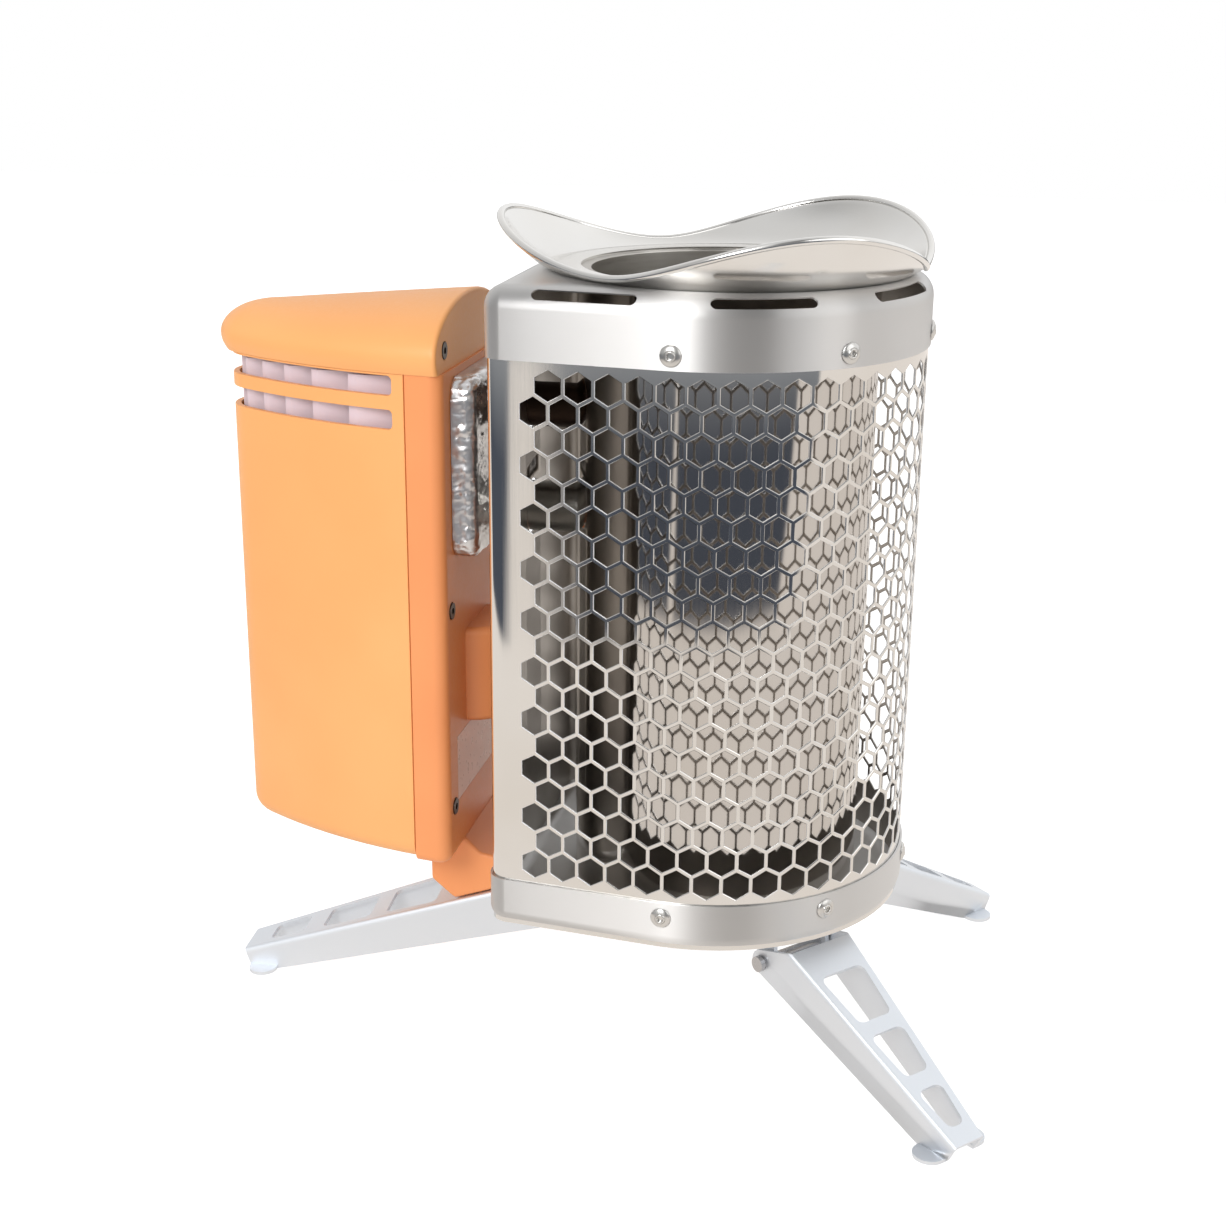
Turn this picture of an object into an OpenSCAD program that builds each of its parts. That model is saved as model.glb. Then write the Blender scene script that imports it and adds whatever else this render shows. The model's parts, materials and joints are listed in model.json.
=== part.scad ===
// Rocket stove: a fan-fed burn chamber in a perforated heat shield, on three folding legs, with a
// slide-on power module. Millimetres, +Z up, resting on Z = 0. The burner's axis is parallel to Z and
// stands axis_x to the +X side of the origin; the module is on the -X side.

/* [Shell] */
// Distance from the air jacket to the outer face of the heat shield
shell_gap = 17; // [14:0.5:22]
// How much nearer the axis the flat side is that faces the module
flat_in = 3.4; // [2:0.2:6]
// Corner radius beside the flat
corner_r = 6; // [6:0.5:8]
// Angle at which the straight sides close in towards the flat
side_taper = 6.7; // [4:0.1:9]
// Sheet thickness of shell, cap, jacket and chamber
sheet = 0.6; // [0.4:0.1:0.8]

/* [Perforation] */
// Distance between hexagon centres
hex_pitch = 9; // [8:0.1:12]
// Metal left between two hexagons
hex_web = 1.15; // [0.8:0.05:2]
// Rows of hexagons
hex_rows = 20; // [10:1:20]
// Hexagons in the widest row
hex_columns = 33; // [21:2:33]
// Height of the lowest row
hex_bottom = 68; // [67:0.5:70]

/* [Pan and cap] */
// Height of the pan's underside above the ground
pan_z = 46; // [44:0.5:50]
// Height of the pan's wall
pan_h = 15.6; // [12:0.2:17]
// Thickness of the pan's sheet
pan_wall = 0.7; // [0.6:0.1:1]
// Height of the cap's lower edge
cap_z = 222.8; // [221:0.2:226]
// Height of the cap's flat top
cap_top = 243.5; // [241:0.5:248]
// How far the shoulder slots sit in from the cap's upper edge
slot_inset = 1.9; // [1.5:0.1:2.5]
// How far the chamber's lip and the opening in the cap reach beyond the jacket
lip_w = 4; // [3:0.1:4.5]
// Half the angle that one shoulder slot spans
slot_half_angle = 14; // [8:1:15]
// Height of a shoulder slot along the sheet
slot_h = 3.7; // [2:0.1:4.5]
// Shank radius of the rivets
rivet_r = 1.6; // [1.2:0.1:2]
// Head radius of the rivets
rivet_head_r = 3.1; // [2.6:0.1:3.6]
// Angle between neighbouring rivets around the shell
rivet_step = 47; // [40:1:48]

/* [Burner] */
// Offset of the chamber and the pot stand from the shell's centre, away from the module
mouth_x = 2.5; // [0:0.5:4]
// Inner radius of the burn chamber
chamber_r = 41.5; // [36:0.5:47]
// Free space between the chamber and its air jacket
jacket_gap = 3.3; // [2.5:0.1:5]
// Height of the chamber's floor
chamber_floor_z = 66; // [60:1:80]
// Radius of an air jet in the chamber's wall
jet_r = 2.2; // [1.5:0.1:3]
// Air jets in each ring
jet_count = 18; // [8:1:24]

/* [Pot stand] */
// Width of the stand's flat ring on the cap, from the opening to where the bowl turns up
flange_w = 4.5; // [3:0.1:6]
// Radius of the flare's curve
flare_bend = 30; // [26:0.5:34]
// Slope of the flare where it leaves the flange
flare_slope = 25; // [20:1:30]
// Mean height of the wavy rim above the cap
rim_mean = 8.3; // [7:0.1:11]
// Height of the waves from mean to crest
rim_wave = 6.6; // [3:0.1:7]
// Waves around the rim
rim_crests = 3; // [3:1:4]
// Thickness of the pot stand's sheet
stand_sheet = 0.9; // [0.8:0.1:1.2]
// Radius of the rolled rim
rim_bead = 1.1; // [0.9:0.1:1.4]

/* [Legs] */
// How far each hinge pin sits in from the round part of the shell
pin_in = 17.7; // [16:0.1:20]
// Height of the hinge pins
pin_z = 33; // [31:0.5:35]
// Radius of the hinge pins
pin_r = 2; // [1.5:0.1:2.5]
// Running clearance around a hinge pin
pin_clearance = 0.06; // [0.03:0.01:0.1]
// Height of a leg's plate above its pin, square to the plate
plate_lift = 12.6; // [11:0.1:14]
// Where the plate starts, along the leg from the pin
plate_start = 7.1; // [6:0.1:9]
// Sheet thickness of the legs
leg_sheet = 1.2; // [1:0.1:1.5]
// Length of the plate of a short leg
short_plate = 75.6; // [70:0.2:80]
// Slope of a short leg, from the horizontal
short_slope = 27.5; // [25:0.1:29]
// Half width of a short leg where its plate starts
short_half_w = 12.7; // [12:0.1:14]
// Half width of a short leg at its foot
short_foot_w = 6.2; // [5.5:0.1:7]
// Length of the plate of the long leg
long_plate = 109; // [100:0.2:112]
// Slope of the long leg
long_slope = 19.4; // [18:0.1:21]
// Half width of the long leg where its plate starts
long_half_w = 16.2; // [15:0.1:17]
// Half width of the long leg at its foot
long_foot_w = 8.1; // [7:0.1:9]
// Direction of the front leg, from +X
front_angle = -43; // [-50:1:-40]
// Direction of the back leg
back_angle = 43; // [40:1:50]
// Direction of the long leg
left_angle = 184; // [178:1:186]

/* [Power module] */
// Free space between the shell's flat side and the module's inner face
module_gap = 18.4; // [16:0.2:21]
// Half width of the module at its inner face
module_half_w = 37; // [34:0.5:39]
// Radius of the module's curved sides
side_r = 170; // [160:1:180]
// Slope of a curved side where it leaves the inner face
side_lead = 8; // [6:0.5:9]
// Radius of the rounded nose
nose_r = 15.3; // [13:0.1:17]
// Corner radius beside the inner face
face_corner_r = 4; // [3:0.5:5]
// Height of the module's underside
module_z = 54; // [53:0.5:57]
// Height of the lid's lower edge
lid_z = 213.2; // [212:0.2:215]
// Wall of the plastic mouldings
plastic = 2; // [1.6:0.1:2.4]
// Distance from the inner face to the seam between cover and housing
seam_depth = 12; // [10:0.5:14]
// Height of a vent slot
vent_h = 6; // [4:0.5:7]
// Distance between the vent slots
vent_pitch = 10.4; // [9:0.1:12]

/* [Module internals] */
// Height of the fan, its nozzle and the jacket's air inlet
fan_z = 166; // [164:0.5:168]
// Side of the square fan frame
fan_size = 34; // [32:0.5:35]
// Depth of the fan frame
fan_depth = 11; // [9:0.5:12]
// Blades on the fan
fan_blades = 7; // [5:1:9]
// Outer radius of the air nozzle
nozzle_r = 8; // [7:0.1:9]
// Height of the heat probe
probe_z = 199; // [198:0.5:200]
// Radius of the heat probe
probe_r = 7; // [6:0.1:7.5]
// Free space around the probe and the nozzle where they enter the burner
entry_gap = 0.8; // [0.5:0.1:1.5]
// Distance between heat sink fins
fin_pitch = 4.8; // [4:0.1:6]
// Thickness of a fin
fin_t = 0.9; // [0.6:0.1:1.2]
// Radius of the battery cell
cell_r = 12.5; // [10:0.1:12.8]
// Length of the battery cell
cell_h = 29; // [26:0.5:30]
// Height of the battery's lower end
cell_z = 97; // [95:0.5:98]
// Radius of the power button
button_r = 5; // [4:0.1:6]
// Travel of the power button
button_travel = 1; // [0.6:0.1:1.4]
// Height of the power button
button_z = 112; // [108:1:116]
// Height of the charging port
port_z = 86; // [82:1:90]
// Angle around the curved side where the port and the button sit
panel_angle = 110; // [106:1:114]

/* [Hidden] */
$fn = 96;
eps = 0.01;
// How far a straight edge keeps inside the arcs that it joins, so that they cross cleanly
tuck = 0.005;

jacket_r = chamber_r + jacket_gap + 2 * sheet;
cap_hole_r = jacket_r + lip_w;
flare_r = cap_hole_r + flange_w;
shell_r = jacket_r + shell_gap;
back_flat = shell_r - flat_in;
face_x = back_flat + module_gap;
pin_reach = shell_r - pin_in;

// Shell plan: a circle whose sides close in to a flat with rounded corners
corner_x = -(back_flat - corner_r);
corner_y = (shell_r - corner_r + corner_x * sin(side_taper)) / cos(side_taper);
side_turn = 90 + side_taper;
side_len = -corner_x * cos(side_taper) - corner_y * sin(side_taper);
arc_len = shell_r * side_turn * PI / 180;
fit_gap = 0.1;
skin_out = fit_gap + sheet;
pan_out = fit_gap + pan_wall;
row_pitch = hex_pitch * sqrt(3) / 2;
hex_r = (hex_pitch - hex_web) / sqrt(3);
shell_z0 = pan_z + pan_wall;
shell_z1 = cap_top - 5;
pan_rivet_z = pan_z + 0.7 * pan_h;
cap_rivet_z = cap_z + 4.2;
rivet_angles = [for (i = [-2 : 2]) i * rivet_step];

// Grown (positive) or shrunk plan of the shell
module shell_plan(out = 0) {
    side = [-sin(side_taper), cos(side_taper)];
    edge = out - tuck;
    upper = [side * (shell_r + edge), [corner_x, corner_y] + side * (corner_r + edge),
             [-(back_flat + edge), corner_y]];
    intersection() {
        circle(r = shell_r + out);
        translate([-back_flat + 2, -(shell_r + out)]) square(2 * (shell_r + out));
    }
    for (s = [-1, 1])
        translate([corner_x, s * corner_y]) circle(r = corner_r + out);
    polygon(concat(upper, [for (i = [2 : -1 : 0]) [upper[i].x, -upper[i].y]]));
}

// Pushes a profile along +Y
module pushed(length) {
    translate([0, length, 0]) rotate([90, 0, 0]) linear_extrude(length) children();
}

// A cup on the shell's plan grown by out
module shell_cup(out, height, wall) {
    linear_extrude(wall) shell_plan(out);
    linear_extrude(height) difference() {
        shell_plan(out);
        shell_plan(out - wall);
    }
}

// Places children on the shell's outer face, s along it from +X, local z outwards
module on_shell(s, z) {
    turn = min(abs(s), arc_len) / shell_r * 180 / PI;
    along = max(abs(s) - arc_len, 0);
    mirror([0, s < 0 ? 1 : 0, 0]) rotate(turn) translate([shell_r, along, z]) rotate([0, 90, 0]) children();
}

module burner() {
    translate([axis_x, 0, 0]) children();
}

// Opens children along X towards the module, at height z
module toward_module(z) {
    translate([0, 0, z]) rotate([0, -90, 0]) children();
}

// The convex outline around equal circles, centres listed anticlockwise
module rounded(centres, r) {
    n = len(centres);
    edges = [for (i = [0 : n - 1]) centres[(i + 1) % n] - centres[i]];
    normals = [for (e = edges) [e.y, -e.x] / norm(e)];
    polygon([for (i = [0 : n - 1]) for (p = [centres[i], centres[(i + 1) % n]]) p + (r - tuck) * normals[i]]);
    for (c = centres)
        translate(c) circle(r = r, $fn = 32);
}

module rounded_box(w, h, r) {
    x = w / 2 - r;
    y = h / 2 - r;
    rounded([[-x, -y], [x, -y], [x, y], [-x, y]], r);
}

// ---------------------------------------------------------------- pot stand

throat_r = jacket_r - 1;
flare_centre = [flare_r - flare_bend * sin(flare_slope), cap_top + flare_bend * cos(flare_slope)];
rim_turns = 72;
arc_steps = 5;
bead_steps = 6;

function rim_height(a) = cap_top + rim_mean + rim_wave * cos(rim_crests * (a - 180));
function rim_slope(a) = acos((flare_centre.y - rim_height(a)) / flare_bend);
function on_flare(r, b) = flare_centre + r * [sin(b), -cos(b)];
function bead_centre(b) = on_flare(flare_bend - stand_sheet / 2, b) + rim_bead * 0.9 * [cos(b), sin(b)];
function bead_point(b, t) = bead_centre(b)
    + rim_bead * (cos(t) * [sin(b), -cos(b)] + sin(t) * [cos(b), sin(b)]);
function stand_section(a) = let (b1 = rim_slope(a), step = (b1 - flare_slope) / arc_steps) concat(
    [[throat_r, cap_top]],
    [for (i = [0 : arc_steps]) on_flare(flare_bend, flare_slope + i * step)],
    [for (i = [0 : bead_steps]) bead_point(b1, -55 + i * 290 / bead_steps)],
    [for (i = [arc_steps : -1 : 0]) on_flare(flare_bend - stand_sheet, flare_slope + i * step)],
    [[throat_r, cap_top + stand_sheet]]
);

module pot_stand() {
    sections = [for (k = [0 : rim_turns - 1]) stand_section(k * 360 / rim_turns)];
    n = len(sections[0]);
    points = [for (k = [0 : rim_turns - 1]) for (p = sections[k])
        [p.x * cos(k * 360 / rim_turns), p.x * sin(k * 360 / rim_turns), p.y]];
    faces = [for (k = [0 : rim_turns - 1]) for (i = [0 : n - 1]) let (
        m = (k + 1) % rim_turns, j = (i + 1) % n, a = k * n + i, b = k * n + j, c = m * n + j, d = m * n + i)
        for (f = [[a, b, c], [a, c, d]]) f];
    color("silver") burner() translate([mouth_x, 0, 0]) polyhedron(points, faces);
}

// ---------------------------------------------------------------- cap, shell and pan

module rivet_hole() {
    translate([0, 0, -3]) cylinder(r = rivet_r + 0.05, h = 6, $fn = 32);
}

module rivet_ring(z) {
    for (a = rivet_angles)
        on_shell(a * shell_r * PI / 180, z) children();
}

rivet_head_h = 1.3;
rivet_tail_r = rivet_r + 0.8;
rivet_tail_t = 1;
rivet_bore_r = 0.8;

// A blind rivet whose head sits at height seat
module rivet(seat) {
    dome = (pow(rivet_head_h, 2) + pow(rivet_head_r, 2)) / (2 * rivet_head_h);
    tail = -sheet - 0.2;
    difference() {
        union() {
            translate([0, 0, seat]) intersection() {
                translate([0, 0, rivet_head_h - dome]) sphere(r = dome);
                cylinder(r = rivet_head_r, h = rivet_head_h);
            }
            translate([0, 0, tail - eps]) cylinder(r = rivet_r, h = seat - tail + 2 * eps, $fn = 32);
            translate([0, 0, tail - rivet_tail_t]) cylinder(r = rivet_tail_r, h = rivet_tail_t, $fn = 32);
        }
        translate([0, 0, seat + rivet_head_h - rivet_bore_r]) cylinder(r = rivet_bore_r, h = 1, $fn = 32);
    }
}

module cap_rivets() {
    color("gainsboro") burner() rivet_ring(cap_rivet_z) rivet(skin_out);
}

module pan_rivets() {
    color("gainsboro") burner() rivet_ring(pan_rivet_z) rivet(pan_out);
}

// Slots through the cap's shoulder, between the rivets
module shoulder_slots() {
    slot_r = shell_r + skin_out - slot_inset;
    slot_z = cap_top - slot_inset;
    for (i = [-3 : 2]) {
        s = (i + 0.5) * rivet_step * shell_r * PI / 180;
        half = slot_half_angle * shell_r * PI / 180;
        if (abs(s) < arc_len)
            rotate(s / shell_r * 180 / PI) rotate(-slot_half_angle) rotate_extrude(angle = 2 * slot_half_angle)
                translate([slot_r, slot_z]) rotate(45) square([8, slot_h], center = true);
        else
            mirror([0, s < 0 ? 1 : 0, 0]) rotate(side_turn)
                translate([slot_r, abs(s) - arc_len - half, slot_z]) pushed(2 * half)
                    rotate(45) square([8, slot_h], center = true);
    }
}

module top_cap() {
    color("silver") burner() difference() {
        translate([0, 0, cap_top]) mirror([0, 0, 1])
            shell_cup(skin_out, cap_top - cap_z, sheet);
        translate([mouth_x, 0, cap_top - 2]) cylinder(r = cap_hole_r, h = 4);
        shoulder_slots();
        rivet_ring(cap_rivet_z) rivet_hole();
    }
}

module heat_shield() {
    color("silver") burner() difference() {
        translate([0, 0, shell_z0]) linear_extrude(shell_z1 - shell_z0) difference() {
            shell_plan();
            shell_plan(-sheet);
        }
        for (j = [0 : hex_rows - 1]) {
            n = hex_columns - j % 2;
            for (k = [0 : n - 1])
                on_shell((k - (n - 1) / 2) * hex_pitch, hex_bottom + j * row_pitch)
                    cylinder(r = hex_r, h = 4, center = true, $fn = 6);
        }
        rivet_ring(cap_rivet_z) rivet_hole();
        rivet_ring(pan_rivet_z) rivet_hole();
        entries();
    }
}

// The ways in for the air nozzle and the heat probe
module entries() {
    toward_module(fan_z) cylinder(r = nozzle_r + entry_gap, h = 100);
    toward_module(probe_z) cylinder(r = probe_r + entry_gap, h = 100);
}

module base_pan() {
    color("silver") burner() difference() {
        translate([0, 0, pan_z]) shell_cup(pan_out, pan_h, pan_wall);
        rivet_ring(pan_rivet_z) rivet_hole();
        bracket_holes();
    }
}

// ---------------------------------------------------------------- burn chamber

lip_z = cap_top - sheet;
jet_rings = [chamber_floor_z + 8, cap_top - 34, cap_top - 22];

module air_jacket() {
    color("silver") burner() difference() {
        translate([mouth_x, 0, pan_z + pan_wall]) cylinder(r = jacket_r, h = lip_z - pan_z - pan_wall);
        translate([mouth_x, 0, 0]) cylinder(r = jacket_r - sheet, h = cap_top + 1);
        entries();
    }
}

module burn_chamber() {
    wall_r = chamber_r + sheet;
    color("silver") burner() difference() {
        translate([mouth_x, 0, 0]) {
            translate([0, 0, chamber_floor_z]) cylinder(r = wall_r, h = cap_top - chamber_floor_z);
            translate([0, 0, lip_z]) cylinder(r = cap_hole_r - 0.3, h = sheet);
        }
        translate([mouth_x, 0, 0]) {
            translate([0, 0, chamber_floor_z + sheet]) cylinder(r = chamber_r, h = cap_top);
            cylinder(r = chamber_r - 4, h = cap_top);
            for (z = jet_rings, k = [0 : jet_count - 1])
                rotate((k + 0.5) * 360 / jet_count) translate([0, 0, z]) rotate([0, 90, 0])
                    translate([0, 0, chamber_r - 2]) cylinder(r = jet_r, h = 4, $fn = 24);
        }
        toward_module(probe_z) cylinder(r = probe_r + entry_gap, h = 100);
    }
}

module chamber_floor() {
    color("silver") burner() translate([mouth_x, 0, chamber_floor_z + sheet])
        cylinder(r = chamber_r - 0.1, h = sheet);
}

// ---------------------------------------------------------------- legs

ear_r = 4.2;
foot_len = 9;
window_margin = 3.5;
window_r = 2.4;
short_windows = [[11, 29.5], [34.5, 50.4], [55.8, 69.6]];
long_windows = [[36.4, 55.3], [61.4, 79.5], [86.8, 100]];
bracket_t = 1.5;
bracket_half_w = 11.4;
bracket_reach = 11;
bracket_rivet_in = 7.4;

pad_offset = 1.6;
// Where the ground lies under a leg: along its normal, d from the pin
function ground_at(slope, d) = (d * sin(slope) - pin_z) / cos(slope);
// Distance from the pin, level with the ground, of the pad's near (0) and far (1) side
function pad_u(slope, plate, far) = let (d = plate_start + plate - (1 - far) * foot_len)
    d * cos(slope) + ground_at(slope, d) * sin(slope);
short_pad = [for (far = [0, 1]) pad_u(short_slope, short_plate, far)];
foot_reach = (pin_reach + (short_pad[0] + short_pad[1]) / 2) * cos(front_angle)
    + (short_foot_w + pad_offset) * sin(-front_angle) + (short_pad[1] - short_pad[0]) / 2;

function tangent(r, p, side) = let (a = atan2(p.y, p.x) + side * acos(r / norm(p))) r * [cos(a), sin(a)];

// Places children at a hinge pin, local x outwards from the burner
module at_pin(angle) {
    burner() rotate(angle) translate([pin_reach, 0, pin_z]) children();
}

// A pressed channel: plate, two flanges that taper with it, and a pad turned out from each
module leg(slope, plate, half_w, foot_w, windows) {
    end = plate_start + plate;
    taper = atan((half_w - foot_w) / plate);
    pin_w = half_w + plate_start * tan(taper);
    toe = [end, ground_at(slope, end)];
    heel = [end - foot_len, ground_at(slope, end - foot_len)];
    near = [plate_start, plate_lift];
    difference() {
        rotate([0, slope, 0]) {
            translate([0, 0, plate_lift - leg_sheet]) linear_extrude(leg_sheet)
                polygon([[plate_start, -half_w], [end, -foot_w], [end, foot_w], [plate_start, half_w]]);
            for (s = [0, 1]) mirror([0, s, 0])
                translate([0, pin_w, 0]) rotate(-taper) rotate([90, 0, 0]) linear_extrude(leg_sheet) {
                    circle(r = ear_r, $fn = 48);
                    polygon([tangent(ear_r - tuck, near, 1), tangent(ear_r - tuck, heel, -1), heel, toe,
                             [end, plate_lift], near]);
                }
        }
        rotate([0, slope, 0]) translate([plate_start, 0, 0]) for (w = windows) {
            hw = [for (d = w) half_w - d * tan(taper) - window_margin - window_r];
            x = [w[0] + window_r, w[1] - window_r];
            linear_extrude(plate_lift + 1)
                rounded([[x[0], -hw[0]], [x[1], -hw[1]], [x[1], hw[1]], [x[0], hw[0]]], window_r);
        }
        rotate([90, 0, 0]) cylinder(r = pin_r + pin_clearance, h = 60, center = true, $fn = 48);
    }
    pad_x = pad_u(slope, plate, 0);
    pad_r = (pad_u(slope, plate, 1) - pad_x) / 2;
    for (s = [0, 1]) mirror([0, s, 0]) translate([pad_x + pad_r, 0, -pin_z]) linear_extrude(leg_sheet) {
        translate([0, foot_w + pad_offset]) circle(r = pad_r, $fn = 48);
        translate([tuck - pad_r, foot_w - leg_sheet]) square([2 * (pad_r - tuck), pad_offset + leg_sheet]);
    }
}

module short_leg() {
    leg(short_slope, short_plate, short_half_w, short_foot_w, short_windows);
}

module front_leg() {
    color("lightsteelblue") at_pin(front_angle) short_leg();
}

module back_leg() {
    color("lightsteelblue") at_pin(back_angle) short_leg();
}

module left_leg() {
    color("lightsteelblue") at_pin(left_angle)
        leg(long_slope, long_plate, long_half_w, long_foot_w, long_windows);
}

// A folded strap under the pan whose ears hold a hinge pin
module bracket() {
    drop = pan_z - pin_z;
    difference() {
        union() {
            translate([-bracket_reach, -bracket_half_w, drop - bracket_t])
                cube([bracket_reach + 3, 2 * bracket_half_w, bracket_t]);
            for (s = [0, 1]) mirror([0, s, 0]) translate([0, bracket_half_w, 0]) rotate([90, 0, 0])
                linear_extrude(bracket_t) {
                    circle(r = ear_r - 0.6, $fn = 48);
                    polygon([[-bracket_reach, drop], [-ear_r + 0.6, 0], [ear_r - 0.6, 0], [3, drop]]);
                }
        }
        rotate([90, 0, 0]) cylinder(r = pin_r + 0.02, h = 60, center = true, $fn = 48);
        for (s = [-1, 1])
            translate([-bracket_rivet_in, s * 5, drop - 4]) cylinder(r = rivet_r + 0.05, h = 8, $fn = 32);
    }
}

module bracket_holes() {
    for (a = [front_angle, back_angle, left_angle], s = [-1, 1])
        rotate(a) translate([pin_reach - bracket_rivet_in, s * 5, pan_z - 2])
            cylinder(r = rivet_r + 0.05, h = 6, $fn = 32);
}

module front_bracket() {
    color("gray") at_pin(front_angle) bracket();
}

module back_bracket() {
    color("gray") at_pin(back_angle) bracket();
}

module left_bracket() {
    color("gray") at_pin(left_angle) bracket();
}

module bracket_rivets() {
    drop = pan_z - pin_z;
    color("gainsboro") for (a = [front_angle, back_angle, left_angle], s = [-1, 1])
        at_pin(a) translate([-bracket_rivet_in, s * 5, 0]) {
            translate([0, 0, drop - bracket_t - rivet_tail_t])
                cylinder(r = rivet_tail_r, h = rivet_tail_t, $fn = 32);
            translate([0, 0, drop - bracket_t - eps])
                cylinder(r = rivet_r, h = bracket_t + pan_wall + 2 * eps, $fn = 32);
            translate([0, 0, drop + pan_wall]) cylinder(r = rivet_tail_r, h = rivet_tail_t, $fn = 32);
        }
}

pin_head_r = pin_r + 0.5;
pin_head_h = 1.4;
pin_play = 0.3;

// A headed pin through the ears of a leg and its bracket
module hinge_pin(half_w) {
    reach = half_w + pin_play;
    rotate([90, 0, 0]) {
        cylinder(r = pin_r, h = 2 * reach + eps, center = true, $fn = 48);
        for (s = [0, 1]) mirror([0, 0, s]) translate([0, 0, reach])
            cylinder(r = pin_head_r, h = pin_head_h, $fn = 48);
    }
}

function ear_half_w(half_w, foot_w, plate) = half_w + (plate_start + ear_r) * (half_w - foot_w) / plate;

module front_pin() {
    color("silver") at_pin(front_angle) hinge_pin(ear_half_w(short_half_w, short_foot_w, short_plate));
}

module back_pin() {
    color("silver") at_pin(back_angle) hinge_pin(ear_half_w(short_half_w, short_foot_w, short_plate));
}

module left_pin() {
    color("silver") at_pin(left_angle) hinge_pin(ear_half_w(long_half_w, long_foot_w, long_plate));
}

// ---------------------------------------------------------------- power module: plan and helpers

lead_x = face_x + 6;
side_c = [side_r * sin(side_lead) - lead_x, module_half_w - side_r * cos(side_lead)];
nose_x = side_c.x - sqrt(pow(side_r - nose_r, 2) - side_c.y * side_c.y);
nose_angle = 90 + asin((side_c.x - nose_x) / (side_r - nose_r));
edge_x = -(face_x + face_corner_r);
edge_y = side_c.y + sqrt(pow(side_r - face_corner_r, 2) - pow(side_c.x - edge_x, 2));
edge_angle = 90 + asin((side_c.x - edge_x) / (side_r - face_corner_r));
seam_x = -(face_x + seam_depth);

// Plan of the module, shrunk by inset
module module_plan(inset = 0) {
    r = side_r - inset;
    clip = [for (a = [nose_angle, edge_angle]) side_c.x + r * cos(a)];
    translate([nose_x, 0]) circle(r = nose_r - inset);
    intersection() {
        translate(side_c) circle(r = r, $fn = 360);
        translate([side_c.x, -side_c.y]) circle(r = r, $fn = 360);
        translate([clip[0], -60]) square([clip[1] - clip[0], 120]);
    }
    for (s = [-1, 1])
        translate([edge_x, s * edge_y]) circle(r = face_corner_r - inset);
    translate([clip[1] - eps, -edge_y]) square([-(face_x + inset) - clip[1] + eps, 2 * edge_y]);
    translate([clip[1] - 1, -edge_y - face_corner_r + inset])
        square([edge_x - clip[1] + 1, 2 * (edge_y + face_corner_r - inset)]);
}

// An open-topped tub on the module's plan
module module_tub() {
    translate([0, 0, module_z]) difference() {
        linear_extrude(lid_z - module_z) module_plan();
        translate([0, 0, plastic]) linear_extrude(lid_z) module_plan(plastic);
    }
}

// Places children on the module's curved +Y side, local z outwards
module on_panel(z) {
    translate([side_c.x, side_c.y, z]) rotate(panel_angle) translate([side_r, 0, 0]) rotate([0, 90, 0])
        children();
}

// Everything in front of (towards the burner) or behind the seam between cover and housing
module burner_side(x) {
    translate([x, -100, -10]) cube([200, 200, 400]);
}

// Slots that start beside the seam and run past the nose
module vent_slots() {
    slot_len = seam_x - vent_in - nose_x + 2 * nose_r;
    for (i = [0, 1])
        translate([seam_x - vent_in, -100, lid_z - vent_h / 2 - vent_drop - i * vent_pitch])
            rotate([-90, 0, 0]) linear_extrude(200)
                translate([-slot_len / 2, 0]) rounded_box(slot_len, vent_h, vent_corner);
}

// ---------------------------------------------------------------- power module: casings

vent_in = 4;
vent_drop = 0.9;
vent_corner = 1.5;
screw_r = 1.4;
screw_head_r = 2.6;
screw_head_h = 1.4;
screw_len = 14;
screw_y = 29.5;
screw_zs = [72, 138];
lid_screw_z = lid_z + 6.5;
recess = 1;
lid_recess = 2;
tab_t = 3;
tab_w = 10;
tab_h = 22;
tab_x = -(face_x + 0.8 + plastic + 0.4);
boss_r = 4.2;
bay_r = 15;
bay_z0 = cell_z - 1.5;
bay_z1 = cell_z + cell_h + 1.5;
foil_z0 = 154;
foil_z1 = 211;
foil_half_w = 28;
foil_t = 8;

module screw_sites(zs) {
    for (z = zs, s = [-1, 1])
        translate([-face_x, s * screw_y, z]) rotate([0, -90, 0]) children();
}

module rear_housing() {
    color("sandybrown") burner() difference() {
        union() {
            module_tub();
            screw_sites(screw_zs) translate([0, 0, seam_depth]) cylinder(r = boss_r, h = screw_len, $fn = 48);
        }
        burner_side(seam_x);
        vent_slots();
        screw_sites(screw_zs) cylinder(r = screw_r + 0.05, h = 40, $fn = 32);
        on_panel(button_z) translate([0, 0, -8]) cylinder(r = button_r + 0.15, h = 12, $fn = 64);
        on_panel(port_z) translate([0, 0, -8]) linear_extrude(12)
            rounded_box(port_h + port_room, port_w + port_room, port_corner + port_room / 2);
        on_panel(lens_z) translate([0, 0, -8]) cylinder(r = lens_r + 0.05, h = 12, $fn = 48);
    }
}

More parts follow.
